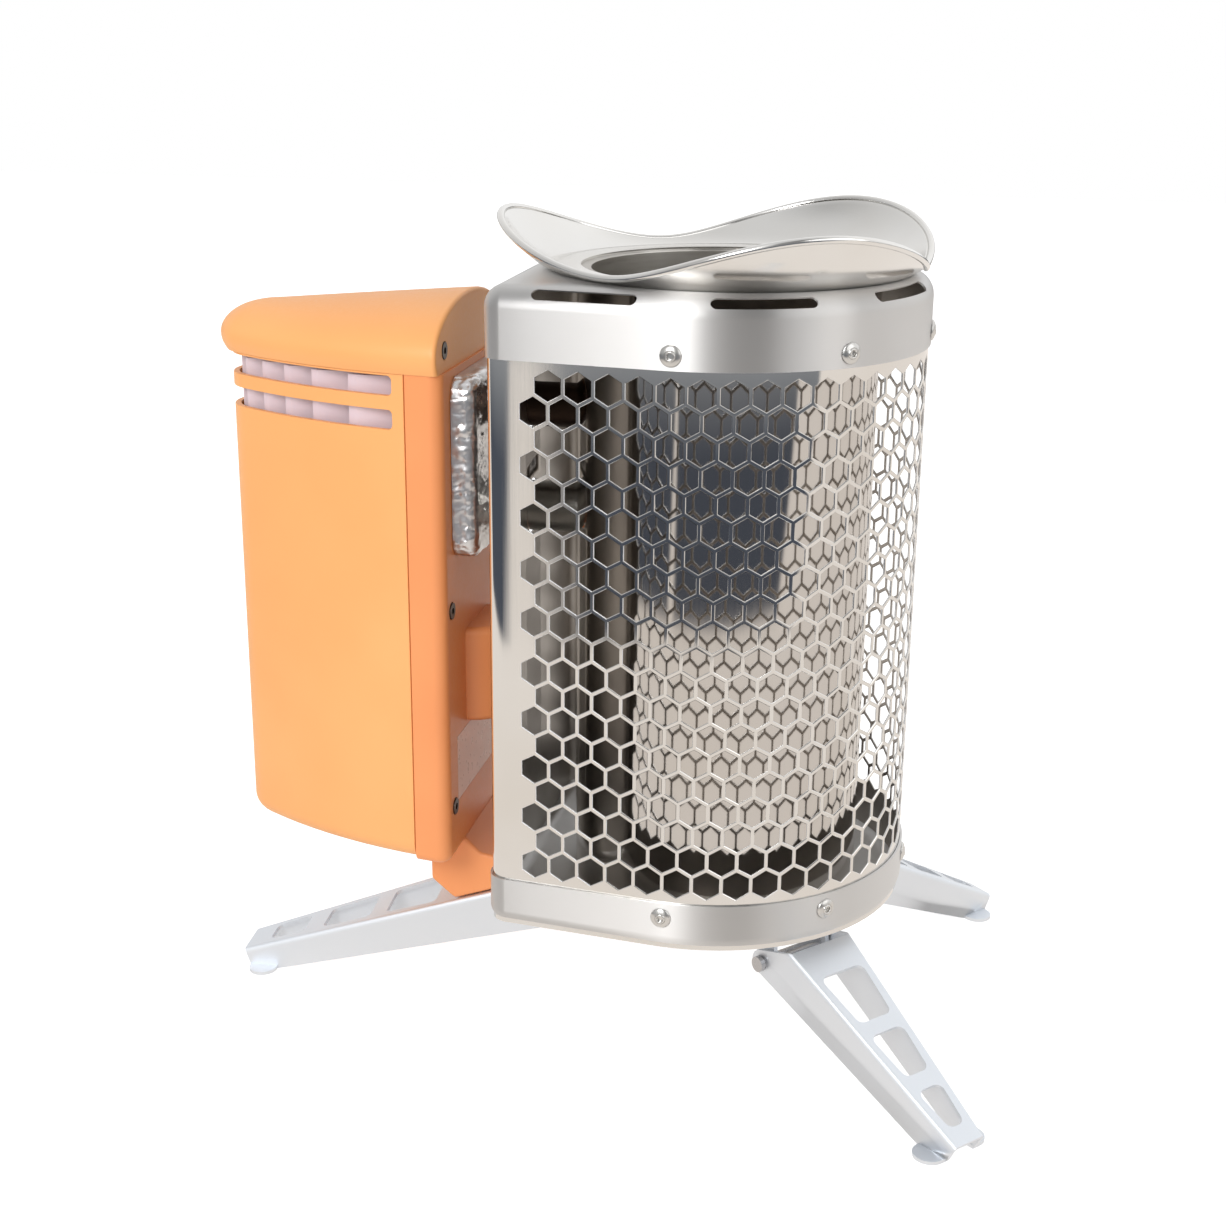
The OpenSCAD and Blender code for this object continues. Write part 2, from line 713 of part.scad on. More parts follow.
module front_cover() {
    color("coral") burner() difference() {
        union() {
            module_tub();
            translate([-face_x - 1, 0, bay_z0]) cylinder(r = bay_r, h = bay_z1 - bay_z0);
            cover_foot();
            for (s = [-1, 1]) translate([tab_x - tab_t, s * screw_y - tab_w / 2, lid_z - 12]) {
                cube([tab_t, tab_w, tab_h]);
                cube([-face_x - plastic - tab_x + tab_t + eps, tab_w, tab_h / 2]);
            }
        }
        translate([seam_x - 200, -100, 0]) cube([200, 200, 300]);
        translate([-face_x - 1, 0, cell_z]) cylinder(r = bay_r - plastic, h = cell_h);
        translate([seam_x - 1, -bay_r + plastic, cell_z])
            cube([seam_depth - 0.5, 2 * (bay_r - plastic), cell_h]);
        entries_in_cover();
        screw_sites(screw_zs) {
            translate([0, 0, -1]) cylinder(r = screw_r + 0.2, h = 40, $fn = 32);
            translate([0, 0, recess - 5]) cylinder(r = screw_head_r + 0.3, h = 5, $fn = 32);
        }
        screw_sites([lid_screw_z]) translate([0, 0, -1]) cylinder(r = screw_r + 0.05, h = 40, $fn = 32);
        translate([-face_x - plate_t, -plate_half_w, plate_z0]) cube([5, 2 * plate_half_w, plate_h]);
    }
}

// The wedge under the cover that the long leg holds against the pan
module cover_foot() {
    foot_half_w = 19;
    pan_face = -(back_flat + pan_out + 0.6);
    difference() {
        translate([0, foot_half_w, 0]) rotate([90, 0, 0]) linear_extrude(2 * foot_half_w)
            polygon([[seam_x, module_z + plastic], [seam_x, 40], [-face_x, 30], [pan_face, 36],
                     [pan_face, pan_z + 3], [-face_x + 5, module_z - 3], [-face_x, module_z + plastic]]);
        rotate(left_angle) translate([pin_reach, 0, pin_z]) rotate([0, long_slope, 0])
            translate([-30, -60, plate_lift + 0.4 - 60]) cube([200, 120, 60]);
    }
}

module entries_in_cover() {
    toward_module(fan_z) cylinder(r = nozzle_r + 0.05, h = 100);
    toward_module(probe_z) cylinder(r = probe_r + 0.1, h = 100);
}

module heat_foil() {
    foil_h = foil_z1 - foil_z0;
    color("gainsboro") burner() difference() {
        translate([-face_x, 0, foil_z0 + foil_h / 2]) rotate([0, 90, 0]) linear_extrude(foil_t)
            rounded_box(foil_h, 2 * foil_half_w, 6);
        toward_module(fan_z) cylinder(r = nozzle_r + 0.1, h = 100);
        toward_module(probe_z) cylinder(r = probe_r + 0.1, h = 100);
    }
}

plate_t = 0.4;
plate_half_w = 26;
plate_h = 22;
plate_z0 = 72.5;

module label_plate() {
    color("peachpuff") burner() translate([-face_x - plate_t, -plate_half_w + 0.1, plate_z0 + 0.1])
        cube([plate_t, 2 * plate_half_w - 0.2, plate_h - 0.2]);
}

// Lid outline: widest ring, from the end face along one side, around the nose and back
lid_over = 2.2;
lid_nose_over = 4;
lid_mid = 5.2;
lid_skirt = 1.8;
crest_h = 21;
crest_fall = 0.08;
side_steps = 8;
nose_steps = 6;
dome_steps = 6;
dome_top = 84;
lid_end_x = -(face_x + 0.8);
lid_end_angle = 90 + asin((side_c.x - lid_end_x) / (side_r + lid_over));

function lid_half_outline() = concat(
    [for (i = [0 : side_steps]) let (a = lid_end_angle + i * (nose_angle - lid_end_angle) / side_steps)
        side_c + (side_r + lid_over) * [cos(a), sin(a)]],
    [for (i = [1 : nose_steps]) let (
        a = nose_angle + i * (180 - nose_angle) / nose_steps,
        r = nose_r + lid_over + (lid_nose_over - lid_over) * (a - nose_angle) / (180 - nose_angle))
        [nose_x + r * cos(a), r * sin(a)]]
);
// The origin stands under the middle of the stove's length, from the lid's nose to the short feet
axis_x = (nose_r + lid_nose_over - nose_x - foot_reach) / 2;
lid_half = lid_half_outline();
lid_outline = concat(lid_half, [for (i = [len(lid_half) - 2 : -1 : 0]) [lid_half[i].x, -lid_half[i].y]]);

function crest_height(x) = crest_h - crest_fall * (-face_x - x);
function spine(p) = [max(p.x, nose_x), 0];
function drawn_in(p, wall, skirt, scale) = let (
    q = spine(p), out = p - q, flat = q + out * scale * (1 - (wall + skirt) / norm(out)))
    [min(flat.x, lid_end_x - wall), flat.y];
function dome_ring(k, wall) = let (t = k * dome_top / dome_steps) [for (p = lid_outline)
    concat(drawn_in(p, wall, 0, cos(t)),
           [lid_z + lid_mid + (crest_height(spine(p).x) - lid_mid - wall) * sin(t)])];
function skirt_ring(z, wall, skirt) = [for (p = lid_outline) concat(drawn_in(p, wall, skirt, 1), [z])];
function lid_skin(wall) = concat(
    [skirt_ring(lid_z, wall, lid_skirt), skirt_ring(lid_z + lid_mid / 2, wall, 0.4)],
    [for (k = [0 : dome_steps]) dome_ring(k, wall)]);

// Triangles between two neighbouring closed rings of n points that start at index a and b
function band(n, a, b) = [for (i = [0 : n - 1]) let (j = (i + 1) % n)
    for (f = [[a + i, b + j, a + j], [a + i, b + i, b + j]]) f];
// Triangles across a ring whose points mirror each other, from index a
function across(n, a) = [for (i = [0 : (n - 1) / 2 - 1])
    let (b = a + i, c = b + 1, d = a + n - 2 - i, e = d + 1)
    for (f = c == d ? [[b, e, c]] : [[b, d, c], [b, e, d]]) f];
function turned(faces) = [for (f = faces) [f[2], f[1], f[0]]];

module lid_shell() {
    outer = lid_skin(0);
    inner = lid_skin(plastic);
    n = len(lid_outline);
    m = len(outer);
    points = [for (r = concat(outer, inner)) for (p = r) p];
    skin = [for (k = [0 : m - 2]) for (f = band(n, k * n, (k + 1) * n)) f];
    lining = [for (k = [m : 2 * m - 2]) for (f = turned(band(n, k * n, (k + 1) * n))) f];
    polyhedron(points, concat(skin, across(n, (m - 1) * n), lining, turned(across(n, (2 * m - 1) * n)),
                              turned(band(n, 0, m * n))), convexity = 4);
}

module module_lid() {
    color("sandybrown") burner() difference() {
        lid_shell();
        screw_sites([lid_screw_z]) {
            translate([0, 0, -2]) cylinder(r = screw_r + 0.2, h = 10, $fn = 32);
            translate([0, 0, lid_recess - 5]) cylinder(r = screw_head_r + 0.3, h = 5, $fn = 32);
        }
    }
}

module screw(len) {
    difference() {
        union() {
            cylinder(r = screw_head_r, h = screw_head_h, $fn = 32);
            cylinder(r = screw_r, h = len, $fn = 32);
        }
        translate([0, 0, -eps]) cylinder(r = 1.2, h = 0.9, $fn = 6);
    }
}

module module_screws() {
    color("dimgray") burner() {
        screw_sites(screw_zs) translate([0, 0, recess - screw_head_h]) screw(seam_depth + 8);
        screw_sites([lid_screw_z]) translate([0, 0, lid_recess - screw_head_h]) screw(7);
    }
}

// ---------------------------------------------------------------- power module: internals

teg_w = 36;
teg_h = 24;
teg_t = 3.6;
spreader_t = 2.4;
sink_base_t = 3;
spreader_x = -(face_x + plastic);
teg_x = spreader_x - spreader_t;
sink_x = teg_x - teg_t;
fin_x = sink_x - sink_base_t;
fins_each_side = 6;
sink_margin = 1;
fin_room = 0.8;
sink_half_w = fins_each_side * fin_pitch + sink_margin;
fin_top = lid_z - 2;
fin_bottom = probe_z - teg_h / 2 - 1;
probe_tip_x = mouth_x - chamber_r + 12;

module heat_probe() {
    color("peru") burner() {
        toward_module(probe_z) translate([0, 0, -probe_tip_x])
            cylinder(r = probe_r, h = probe_tip_x - spreader_x);
        translate([teg_x, -teg_w / 2, probe_z - teg_h / 2]) cube([spreader_t, teg_w, teg_h]);
    }
}

module thermoelectric_plate() {
    color("white") burner() translate([sink_x, -teg_w / 2, probe_z - teg_h / 2]) cube([teg_t, teg_w, teg_h]);
}

module heat_sink() {
    color("lavender") burner() {
        translate([fin_x, -sink_half_w, fin_bottom]) cube([sink_base_t, 2 * sink_half_w, fin_top - fin_bottom]);
        intersection() {
            translate([0, 0, fin_bottom]) linear_extrude(fin_top - fin_bottom) module_plan(plastic + fin_room);
            for (k = [-fins_each_side : fins_each_side])
                translate([nose_x - nose_r, k * fin_pitch - fin_t / 2, 0])
                    cube([fin_x - nose_x + nose_r + eps, fin_t, 2 * fin_top]);
        }
    }
}

fan_x = -(face_x + plastic + 5);
shaft_r = 1;
hub_r = 9;
hub_h = 5;
hub_wall = 1;
blade_r = fan_size / 2 - 1.6;
blade_w = 6.8;
blade_t = 0.8;
blade_pitch = 35;

// The duct from the fan through the cover and the shell into the jacket
module air_nozzle() {
    wall = 1.2;
    tip = jacket_r - mouth_x - 2;
    flare = -fan_x - face_x - plastic;
    color("darkgray") burner() toward_module(fan_z) rotate_extrude() difference() {
        polygon([[0, tip], [nozzle_r, tip], [nozzle_r, face_x + plastic], [blade_r + wall, -fan_x],
                 [0, -fan_x]]);
        polygon([[0, tip - 1], [nozzle_r - wall, tip - 1], [nozzle_r - wall, face_x + plastic],
                 [blade_r, face_x + plastic + flare], [blade_r, -fan_x + 1], [0, -fan_x + 1]]);
    }
}

module fan_frame() {
    color("dimgray") burner() toward_module(fan_z) translate([0, 0, -fan_x]) difference() {
        linear_extrude(fan_depth) rounded_box(fan_size, fan_size, 3);
        translate([0, 0, -1]) cylinder(r = blade_r + 0.6, h = fan_depth - 1);
        translate([0, 0, fan_depth - 3]) linear_extrude(4) difference() {
            circle(r = blade_r);
            circle(r = hub_r);
            for (a = [0 : 120 : 240])
                rotate(a) translate([0, -1.2]) square([fan_size, 2.4]);
        }
    }
}

module fan_motor() {
    color("darkslategray") burner() toward_module(fan_z) translate([0, 0, -fan_x]) {
        translate([0, 0, fan_depth - 5]) cylinder(r = hub_r - 2, h = 3);
        translate([0, 0, 1.5]) cylinder(r = shaft_r, h = fan_depth - 4, $fn = 48);
    }
}

module fan_rotor() {
    color("black") burner() toward_module(fan_z) translate([0, 0, -fan_x + 0.6]) difference() {
        union() {
            cylinder(r = hub_r, h = hub_h);
            for (k = [0 : fan_blades - 1])
                rotate(k * 360 / fan_blades) translate([hub_r - hub_wall, 0, hub_h / 2])
                    rotate([blade_pitch, 0, 0]) translate([0, -blade_w / 2, -blade_t / 2])
                        cube([blade_r - hub_r, blade_w, blade_t]);
        }
        translate([0, 0, -1]) cylinder(r = shaft_r + 0.04, h = 2 * hub_h, $fn = 48);
        translate([0, 0, hub_h - 1.2 * hub_wall]) cylinder(r = hub_r - hub_wall, h = hub_h);
    }
}

cell_tip_r = 3;
cell_tip_h = 1;

module battery() {
    color("steelblue") burner() translate([-face_x - 1, 0, cell_z]) {
        cylinder(r = cell_r, h = cell_h - cell_tip_h);
        translate([0, 0, cell_h - cell_tip_h - eps]) cylinder(r = cell_tip_r, h = cell_tip_h, $fn = 48);
    }
}

board_in = 13;
board_l = 68;
board_w = 32;
board_t = 1.6;
board_z = 62;
lens_r = 1.8;
lens_z = board_z + board_l - 4;
flange_t = 1;
collar_w = 1.2;
wall_in = plastic + 0.4;
port_w = 14;
port_h = 7;
port_wall = 0.6;
port_corner = 0.6;
port_room = 0.6;
tongue_w = 10;
tongue_t = 1.8;
tongue_l = 9;
switch_w = 6;
switch_h = 2.4;
plunger_h = 0.8;
stem_r = 1.5;
stem_gap = switch_h + plunger_h + button_travel + 0.4;

module circuit_board() {
    color("darkgreen") burner() on_panel(0)
        translate([-board_z - board_l, -board_w / 2, -board_in - board_t]) cube([board_l, board_w, board_t]);
}

module charging_port() {
    color("silver") burner() on_panel(port_z) difference() {
        translate([0, 0, -board_in]) linear_extrude(board_in - port_room)
            rounded_box(port_h, port_w, port_corner);
        translate([0, 0, -board_in + 1]) linear_extrude(board_in)
            rounded_box(port_h - 2 * port_wall, port_w - 2 * port_wall, port_corner);
    }
    color("black") burner() on_panel(port_z) translate([-tongue_t / 2, -tongue_w / 2, -board_in + 1 - eps])
        cube([tongue_t, tongue_w, tongue_l]);
}

module power_button() {
    color("dimgray") burner() on_panel(button_z) {
        translate([0, 0, -wall_in]) cylinder(r = button_r, h = wall_in + button_travel + 0.4, $fn = 64);
        translate([0, 0, -wall_in - flange_t]) cylinder(r = button_r + collar_w, h = flange_t, $fn = 64);
        translate([0, 0, -board_in + stem_gap])
            cylinder(r = stem_r, h = board_in - wall_in - stem_gap, $fn = 32);
    }
}

module button_switch() {
    color("black") burner() on_panel(button_z) {
        translate([-switch_w / 2, -switch_w / 2, -board_in]) cube([switch_w, switch_w, switch_h]);
        translate([0, 0, -board_in + switch_h]) cylinder(r = stem_r + 0.1, h = plunger_h, $fn = 32);
    }
}

module status_lens() {
    color("white") burner() on_panel(lens_z) {
        translate([0, 0, -board_in]) cylinder(r = lens_r, h = board_in - 0.2, $fn = 48);
    }
}

pot_stand();
top_cap();
cap_rivets();
heat_shield();
air_jacket();
burn_chamber();
chamber_floor();
base_pan();
pan_rivets();
front_bracket();
back_bracket();
left_bracket();
bracket_rivets();
front_pin();
back_pin();
left_pin();
front_leg();
back_leg();
left_leg();
module_lid();
front_cover();
rear_housing();
heat_foil();
heat_probe();
thermoelectric_plate();
heat_sink();
air_nozzle();
fan_frame();
fan_motor();
fan_rotor();
battery();
circuit_board();
charging_port();
power_button();
button_switch();
status_lens();
module_screws();
label_plate();
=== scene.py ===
# Rocket stove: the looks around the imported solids. Metres, +Z up, resting on Z = 0.
import json
import math
from contextlib import contextmanager

import bmesh
import bpy
from mathutils import Matrix, Vector, noise


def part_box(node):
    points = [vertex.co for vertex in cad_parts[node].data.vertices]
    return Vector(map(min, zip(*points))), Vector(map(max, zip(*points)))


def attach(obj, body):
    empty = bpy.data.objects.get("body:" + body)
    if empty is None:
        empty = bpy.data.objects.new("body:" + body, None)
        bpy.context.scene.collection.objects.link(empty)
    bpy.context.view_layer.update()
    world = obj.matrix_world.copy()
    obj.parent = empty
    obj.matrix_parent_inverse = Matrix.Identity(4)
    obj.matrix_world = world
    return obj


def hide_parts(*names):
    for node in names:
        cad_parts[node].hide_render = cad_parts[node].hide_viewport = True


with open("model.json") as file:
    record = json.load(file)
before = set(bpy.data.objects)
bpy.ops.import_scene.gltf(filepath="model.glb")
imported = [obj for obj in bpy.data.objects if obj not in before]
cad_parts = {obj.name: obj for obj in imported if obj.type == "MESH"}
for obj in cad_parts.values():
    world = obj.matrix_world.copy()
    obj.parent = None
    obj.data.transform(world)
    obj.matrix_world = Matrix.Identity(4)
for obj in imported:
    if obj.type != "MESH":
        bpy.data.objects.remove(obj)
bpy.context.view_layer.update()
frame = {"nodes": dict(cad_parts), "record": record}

MM = 0.001
TAU = 2 * math.pi
rad = math.radians
X, Z = 0, 2                               # which of a point's three numbers
SAME = 1e-6                               # metres: points closer than this share a place

# ---------------------------------------------------------------- sizes shared with the solids, in mm
MOUTH_X = 2.5                             # the fire's axis, forward of the shell's
SHELL_R = 63.0                            # the shell's round front
BACK_FLAT = 59.6                          # its flat back, behind the axis
CORNER_R = 6.0
TAPER = rad(6.7)                          # how much each flank closes in towards the back
SHEET = 0.6                               # shell, cap, jacket and chamber
SKIN_OUT = 0.7                            # the cap's outside, out from the shell's plan
PAN_OUT = 0.8                             # the same for the base pan
PAN_WALL = 0.7
HEX_PITCH = 9.0                           # between the centres of two holes in a row
HEX_WEB = 1.15                            # the metal between two holes
HEX_ROWS = 20
HEX_COLUMNS = 33                          # every second row has one hole less
HEX_BOTTOM = 68.0                         # height of the lowest row's centres
PAN_Z = 46.0
PAN_H = 15.6
CAP_Z = 222.8                             # the cap's lower edge
CAP_TOP = 243.5
SHELL_TOP = CAP_TOP - 5
JACKET_R = 46.0
CHAMBER_R = 41.5
CAP_HOLE_R = 50.0
CHAMBER_FLOOR = 66.0
FAN_Z = 166.0                             # height of the air duct's axis
PROBE_Z = 199.0                           # height of the heat probe's axis
NOZZLE_R = 8.0
PROBE_R = 7.0
ENTRY_GAP = 0.8                           # play where duct and probe pass a sheet
RIVET_STEP = 47.0                         # degrees between the shell's rivets
PAN_RIVET_Z = 56.92
CAP_RIVET_Z = 227.0
PIN_REACH = 45.3                          # from the burner's axis out to each leg's hinge pin
PIN_Z = 33.0
FRONT_ANGLE = -43.0                       # where each leg points, in degrees around the burner
BACK_ANGLE = 43.0
LEFT_ANGLE = 184.0
FACE_X = 78.0                             # the power module's inner face, behind the burner's axis
MODULE_HALF_W = 37.0
SIDE_R = 170.0                            # the bulge of the module's sides
SIDE_LEAD = rad(8)                        # how much the sides already close in where they are widest
NOSE_R = 15.3
FACE_CORNER_R = 4.0
MODULE_Z = 54.0
LID_Z = 213.2                             # where the lid sits on housing and cover
SEAM_DEPTH = 12.0                         # from the inner face back to the joint of housing and cover
PLASTIC = 2.0

low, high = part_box("air_jacket")
AXIS_X = (low.x + high.x) / 2 / MM - MOUTH_X      # the burner's axis, in mm from the origin


# ---------------------------------------------------------------- small tools
def deselect():
    """Leaves edit mode with nothing selected."""
    if bpy.context.object and bpy.context.object.mode != "OBJECT":
        bpy.ops.object.mode_set(mode="OBJECT")
    bpy.ops.object.select_all(action="DESELECT")


def only(obj):
    """Makes obj the one selected, active object."""
    deselect()
    obj.select_set(True)
    bpy.context.view_layer.objects.active = obj
    return obj


def apply_place(obj):
    """Moves an object's place, turn and size into its mesh."""
    only(obj)
    bpy.ops.object.transform_apply(location=True, rotation=True, scale=True)
    return obj


def use(obj, kind, **settings):
    """Adds a modifier and applies it."""
    only(obj)
    m = obj.modifiers.new(kind.title(), kind)
    for k, v in settings.items():
        setattr(m, k, v)
    bpy.ops.object.modifier_apply(modifier=m.name)
    return obj


def cut(obj, *tools, operation="DIFFERENCE"):
    """Cuts the tools out of obj, or joins them on with UNION; the tools are used up."""
    for t in tools:
        use(obj, "BOOLEAN", operation=operation, solver="EXACT", object=t)
        bpy.data.objects.remove(t)
    return obj


def joined(*objs):
    """Makes one object of several."""
    deselect()
    for o in objs:
        o.select_set(True)
    bpy.context.view_layer.objects.active = objs[0]
    bpy.ops.object.join()
    return objs[0]


@contextmanager
def mesh_of(obj):
    """Gives obj's mesh to work on, and writes it back."""
    bm = bmesh.new()
    bm.from_mesh(obj.data)
    yield bm
    bm.to_mesh(obj.data)
    bm.free()


def welded(obj, distance=0.002, outwards=True):
    """Merges doubles (distance in mm) and turns faces outwards."""
    with mesh_of(obj) as bm:
        bmesh.ops.remove_doubles(bm, verts=bm.verts, dist=distance * MM)
        if outwards:
            bmesh.ops.recalc_face_normals(bm, faces=bm.faces)
    return obj


def capped(obj):
    """Closes open ends with faces."""
    with mesh_of(obj) as bm:
        bmesh.ops.holes_fill(bm, edges=[e for e in bm.edges if e.is_boundary], sides=0)
        bmesh.ops.recalc_face_normals(bm, faces=bm.faces)
    return obj


def at_burner(x=0.0, y=0.0, z=0.0):
    """A point given in mm from the burner's axis, in metres from the origin."""
    return Vector(((AXIS_X + x) * MM, y * MM, z * MM))


def made(name, points, faces):
    """A new object from points in metres."""
    mesh = bpy.data.meshes.new(name)
    mesh.from_pydata(points, [], faces)
    obj = bpy.data.objects.new(name, mesh)
    bpy.context.scene.collection.objects.link(obj)
    return obj


def cylinder(r, h, centre, axis="Z", sides=96, caps=True):
    """A cylinder in mm around a centre given from the burner's axis."""
    deselect()
    bpy.ops.mesh.primitive_cylinder_add(vertices=sides, radius=r * MM, depth=h * MM,
                                        location=at_burner(*centre),
                                        rotation=(0, rad(90), 0) if axis == "X" else (0, 0, 0),
                                        end_fill_type="NGON" if caps else "NOTHING")
    return apply_place(bpy.context.object)


def block(x0, x1, y0, y1, z0, z1):
    """A box in mm between corners given from the burner's axis."""
    deselect()
    bpy.ops.mesh.primitive_cube_add(size=1, location=at_burner((x0 + x1) / 2, (y0 + y1) / 2, (z0 + z1) / 2),
                                    scale=((x1 - x0) * MM, (y1 - y0) * MM, (z1 - z0) * MM))
    return apply_place(bpy.context.object)


def flat_face(name, points):
    """One flat n-gon through points given in mm from the burner's axis."""
    return made(name, [at_burner(*p) for p in points], [list(range(len(points)))])


def lofted(name, rings, close_loft=False):
    """Quads between closed rings of points in mm from the burner's axis, for forms no primitive gives."""
    n = len(rings[0])
    faces = []
    for k in range(len(rings) if close_loft else len(rings) - 1):
        for i in range(n):
            j, m = (i + 1) % n, (k + 1) % len(rings)
            faces.append((k * n + i, k * n + j, m * n + j, m * n + i))
    return made(name, [at_burner(*p) for ring in rings for p in ring], faces)


def pull(obj, vector):
    """Extrudes every face of obj along a vector in mm, as a closed solid."""
    only(obj)
    bpy.ops.object.mode_set(mode="EDIT")
    bpy.ops.mesh.select_all(action="SELECT")
    bpy.ops.mesh.extrude_region_move(TRANSFORM_OT_translate={"value": Vector(vector) * MM})
    bpy.ops.mesh.select_all(action="SELECT")
    bpy.ops.mesh.normals_make_consistent(inside=False)
    bpy.ops.object.mode_set(mode="OBJECT")
    return obj


def prism(points, push):
    """A closed prism from points in mm from the origin, pushed along a vector in mm."""
    return pull(made("prism", [Vector(p) * MM for p in points], [list(range(len(points)))]), push)


def rounded_loop(centres, r, steps=6):
    """Points of the convex outline around equal circles, anticlockwise."""
    out, n = [], len(centres)
    for i, c in enumerate(centres):
        before = Vector(c) - Vector(centres[i - 1])
        after = Vector(centres[(i + 1) % n]) - Vector(c)
        a0 = math.atan2(-before.x, before.y)
        a1 = math.atan2(-after.x, after.y)
        while a1 < a0:
            a1 += TAU
        for k in range(steps + 1):
            a = a0 + (a1 - a0) * k / steps
            out.append((c[0] + r * math.cos(a), c[1] + r * math.sin(a)))
    return out


def lies_at(part, axis, value, near=SAME):
    """Whether all points of an edge or face lie at value, in mm from the origin, along an axis."""
    return all(abs(v.co[axis] - value * MM) < near for v in part.verts)


def pick(obj, test, domain="EDGE"):
    """Selects the edges or faces that pass the test, and stays in edit mode."""
    only(obj)
    bpy.ops.object.mode_set(mode="EDIT")
    bpy.ops.mesh.select_mode(type=domain)
    bpy.ops.mesh.select_all(action="DESELECT")
    bm = bmesh.from_edit_mesh(obj.data)
    for part in (bm.edges if domain == "EDGE" else bm.faces):
        if test(part):
            part.select_set(True)
    bm.select_flush_mode()
    bmesh.update_edit_mesh(obj.data)


def bevelled(obj, test, width, segments=4):
    """Rounds the picked edges, width in mm."""
    pick(obj, test)
    bpy.ops.mesh.bevel(offset=width * MM, segments=segments, profile=0.5, affect="EDGES")
    bpy.ops.object.mode_set(mode="OBJECT")
    return obj


def opened(obj, test):
    """Deletes the picked faces."""
    pick(obj, test, "FACE")
    bpy.ops.mesh.delete(type="FACE")
    bpy.ops.object.mode_set(mode="OBJECT")
    return obj


def softened(obj, width, angle=60):
    """Takes the sharpness off every edge that turns by more than angle, width in mm."""
    return use(obj, "BEVEL", width=width * MM, segments=2, limit_method="ANGLE", angle_limit=rad(angle))


def piece(obj, name, body, slot, *nodes, angle=35):
    """Names a finished piece, smooths it, and gives it its body, slot and the solids it stands for."""
    obj.name = obj.data.name = name
    obj.data.materials.clear()
    obj.data.materials.append(MATERIALS[slot])
    only(obj)
    bpy.ops.object.shade_smooth_by_angle(angle=rad(angle))
    use(obj, "WEIGHTED_NORMAL", keep_sharp=True, weight=100)
    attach(obj, body)
    if nodes:
        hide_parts(*nodes)
    return obj


# ---------------------------------------------------------------- materials
FACTOR, FIRST, SECOND, MIXED = 0, 6, 7, 2         # inputs and output of a colour mix
BRUSH_RUN = 25.0                                  # mm: a brushed line's length, before streak makes it finer
SMUDGE_SIZE = 45.45                               # mm: about a fingertip's wipe
DRIFT_SIZE = 55.56                                # mm: slow change of colour across a moulding


def linear(code):
    """An sRGB hex colour as linear RGBA."""
    parts = [int(code[i:i + 2], 16) / 255 for i in (1, 3, 5)]
    return [c / 12.92 if c <= 0.04045 else ((c + 0.055) / 1.055) ** 2.4 for c in parts] + [1]


def per(size):
    """The noise scale whose grains are about size, in mm."""
    return 1 / (size * MM)


def add(tree, kind, settings=None, inputs=None, stops=()):
    """One node: settings are its properties, inputs are values or (node, output) links, and stops are a
    colour ramp's (place, colour) pairs, where a colour is a hex code or a grey level."""
    node = tree.nodes.new(kind)
    for k, v in (settings or {}).items():
        setattr(node, k, v)
    for k, v in (inputs or {}).items():
        if isinstance(v, tuple) and isinstance(v[0], bpy.types.Node):
            tree.links.new(v[0].outputs[v[1]], node.inputs[k])
        else:
            node.inputs[k].default_value = v
    if stops:
        band = node.color_ramp
        while len(band.elements) < len(stops):
            band.elements.new(0.5)
        for e, (place, colour) in zip(band.elements, stops):
            e.position = place
            e.color = linear(colour) if isinstance(colour, str) else (colour, colour, colour, 1)
    return node


def fresh(name):
    """A new material and its empty node tree."""
    mat = bpy.data.materials.new(name)
    mat.use_nodes = True
    mat.node_tree.nodes.clear()
    return mat, mat.node_tree


def steel(name, colour, rough, streak=(1, 1, 60), grain=0.06, tint="#B8A88C", tint_share=0.15, bump=0.02,
          around=0.0):
    """Bare metal: rolling or brushing lines, streak times finer along X, Y and Z than BRUSH_RUN, move the
    roughness by grain, and smudges of tint lie over them. around is how strongly brushing around the burner
    draws a reflection out upwards."""
    mat, t = fresh(name)
    place = add(t, "ShaderNodeTexCoord")
    lines = add(t, "ShaderNodeMapping", inputs={"Vector": (place, "Object"), "Scale": streak})
    brush = add(t, "ShaderNodeTexNoise", inputs={"Vector": (lines, "Vector"), "Scale": per(BRUSH_RUN),
                                                 "Detail": 6.0, "Roughness": 0.7})
    smudge = add(t, "ShaderNodeTexNoise", inputs={"Vector": (place, "Object"), "Scale": per(SMUDGE_SIZE),
                                                  "Detail": 3.0})
    tinted = add(t, "ShaderNodeValToRGB", inputs={"Fac": (smudge, "Fac")},
                 stops=[(0.35, 0.0), (0.75, tint_share)])
    mix = add(t, "ShaderNodeMix", {"data_type": "RGBA"},
              {FACTOR: (tinted, "Color"), FIRST: linear(colour), SECOND: linear(tint)})
    gloss = add(t, "ShaderNodeMapRange", inputs={"Value": (brush, "Fac"), "From Min": 0.3, "From Max": 0.7,
                                                 "To Min": rough - grain / 2, "To Max": rough + grain / 2})
    wear = add(t, "ShaderNodeMath", {"operation": "MULTIPLY_ADD"}, {0: (smudge, "Fac"), 1: grain,
                                                                    2: (gloss, "Result")})
    dents = add(t, "ShaderNodeBump", inputs={"Strength": bump, "Distance": 0.2 * MM,
                                             "Height": (brush, "Fac")})
    shader = add(t, "ShaderNodeBsdfPrincipled", inputs={"Base Color": (mix, MIXED), "Metallic": 1.0,
                                                        "Roughness": (wear, 0), "Normal": (dents, "Normal")})
    if around:
        rings = add(t, "ShaderNodeTangent", {"direction_type": "RADIAL", "axis": "Z"})
        t.links.new(rings.outputs["Tangent"], shader.inputs["Tangent"])
        shader.inputs["Anisotropic"].default_value = around
        shader.inputs["Anisotropic Rotation"].default_value = 0.25
    add(t, "ShaderNodeOutputMaterial", inputs={"Surface": (shader, "BSDF")})
    return mat


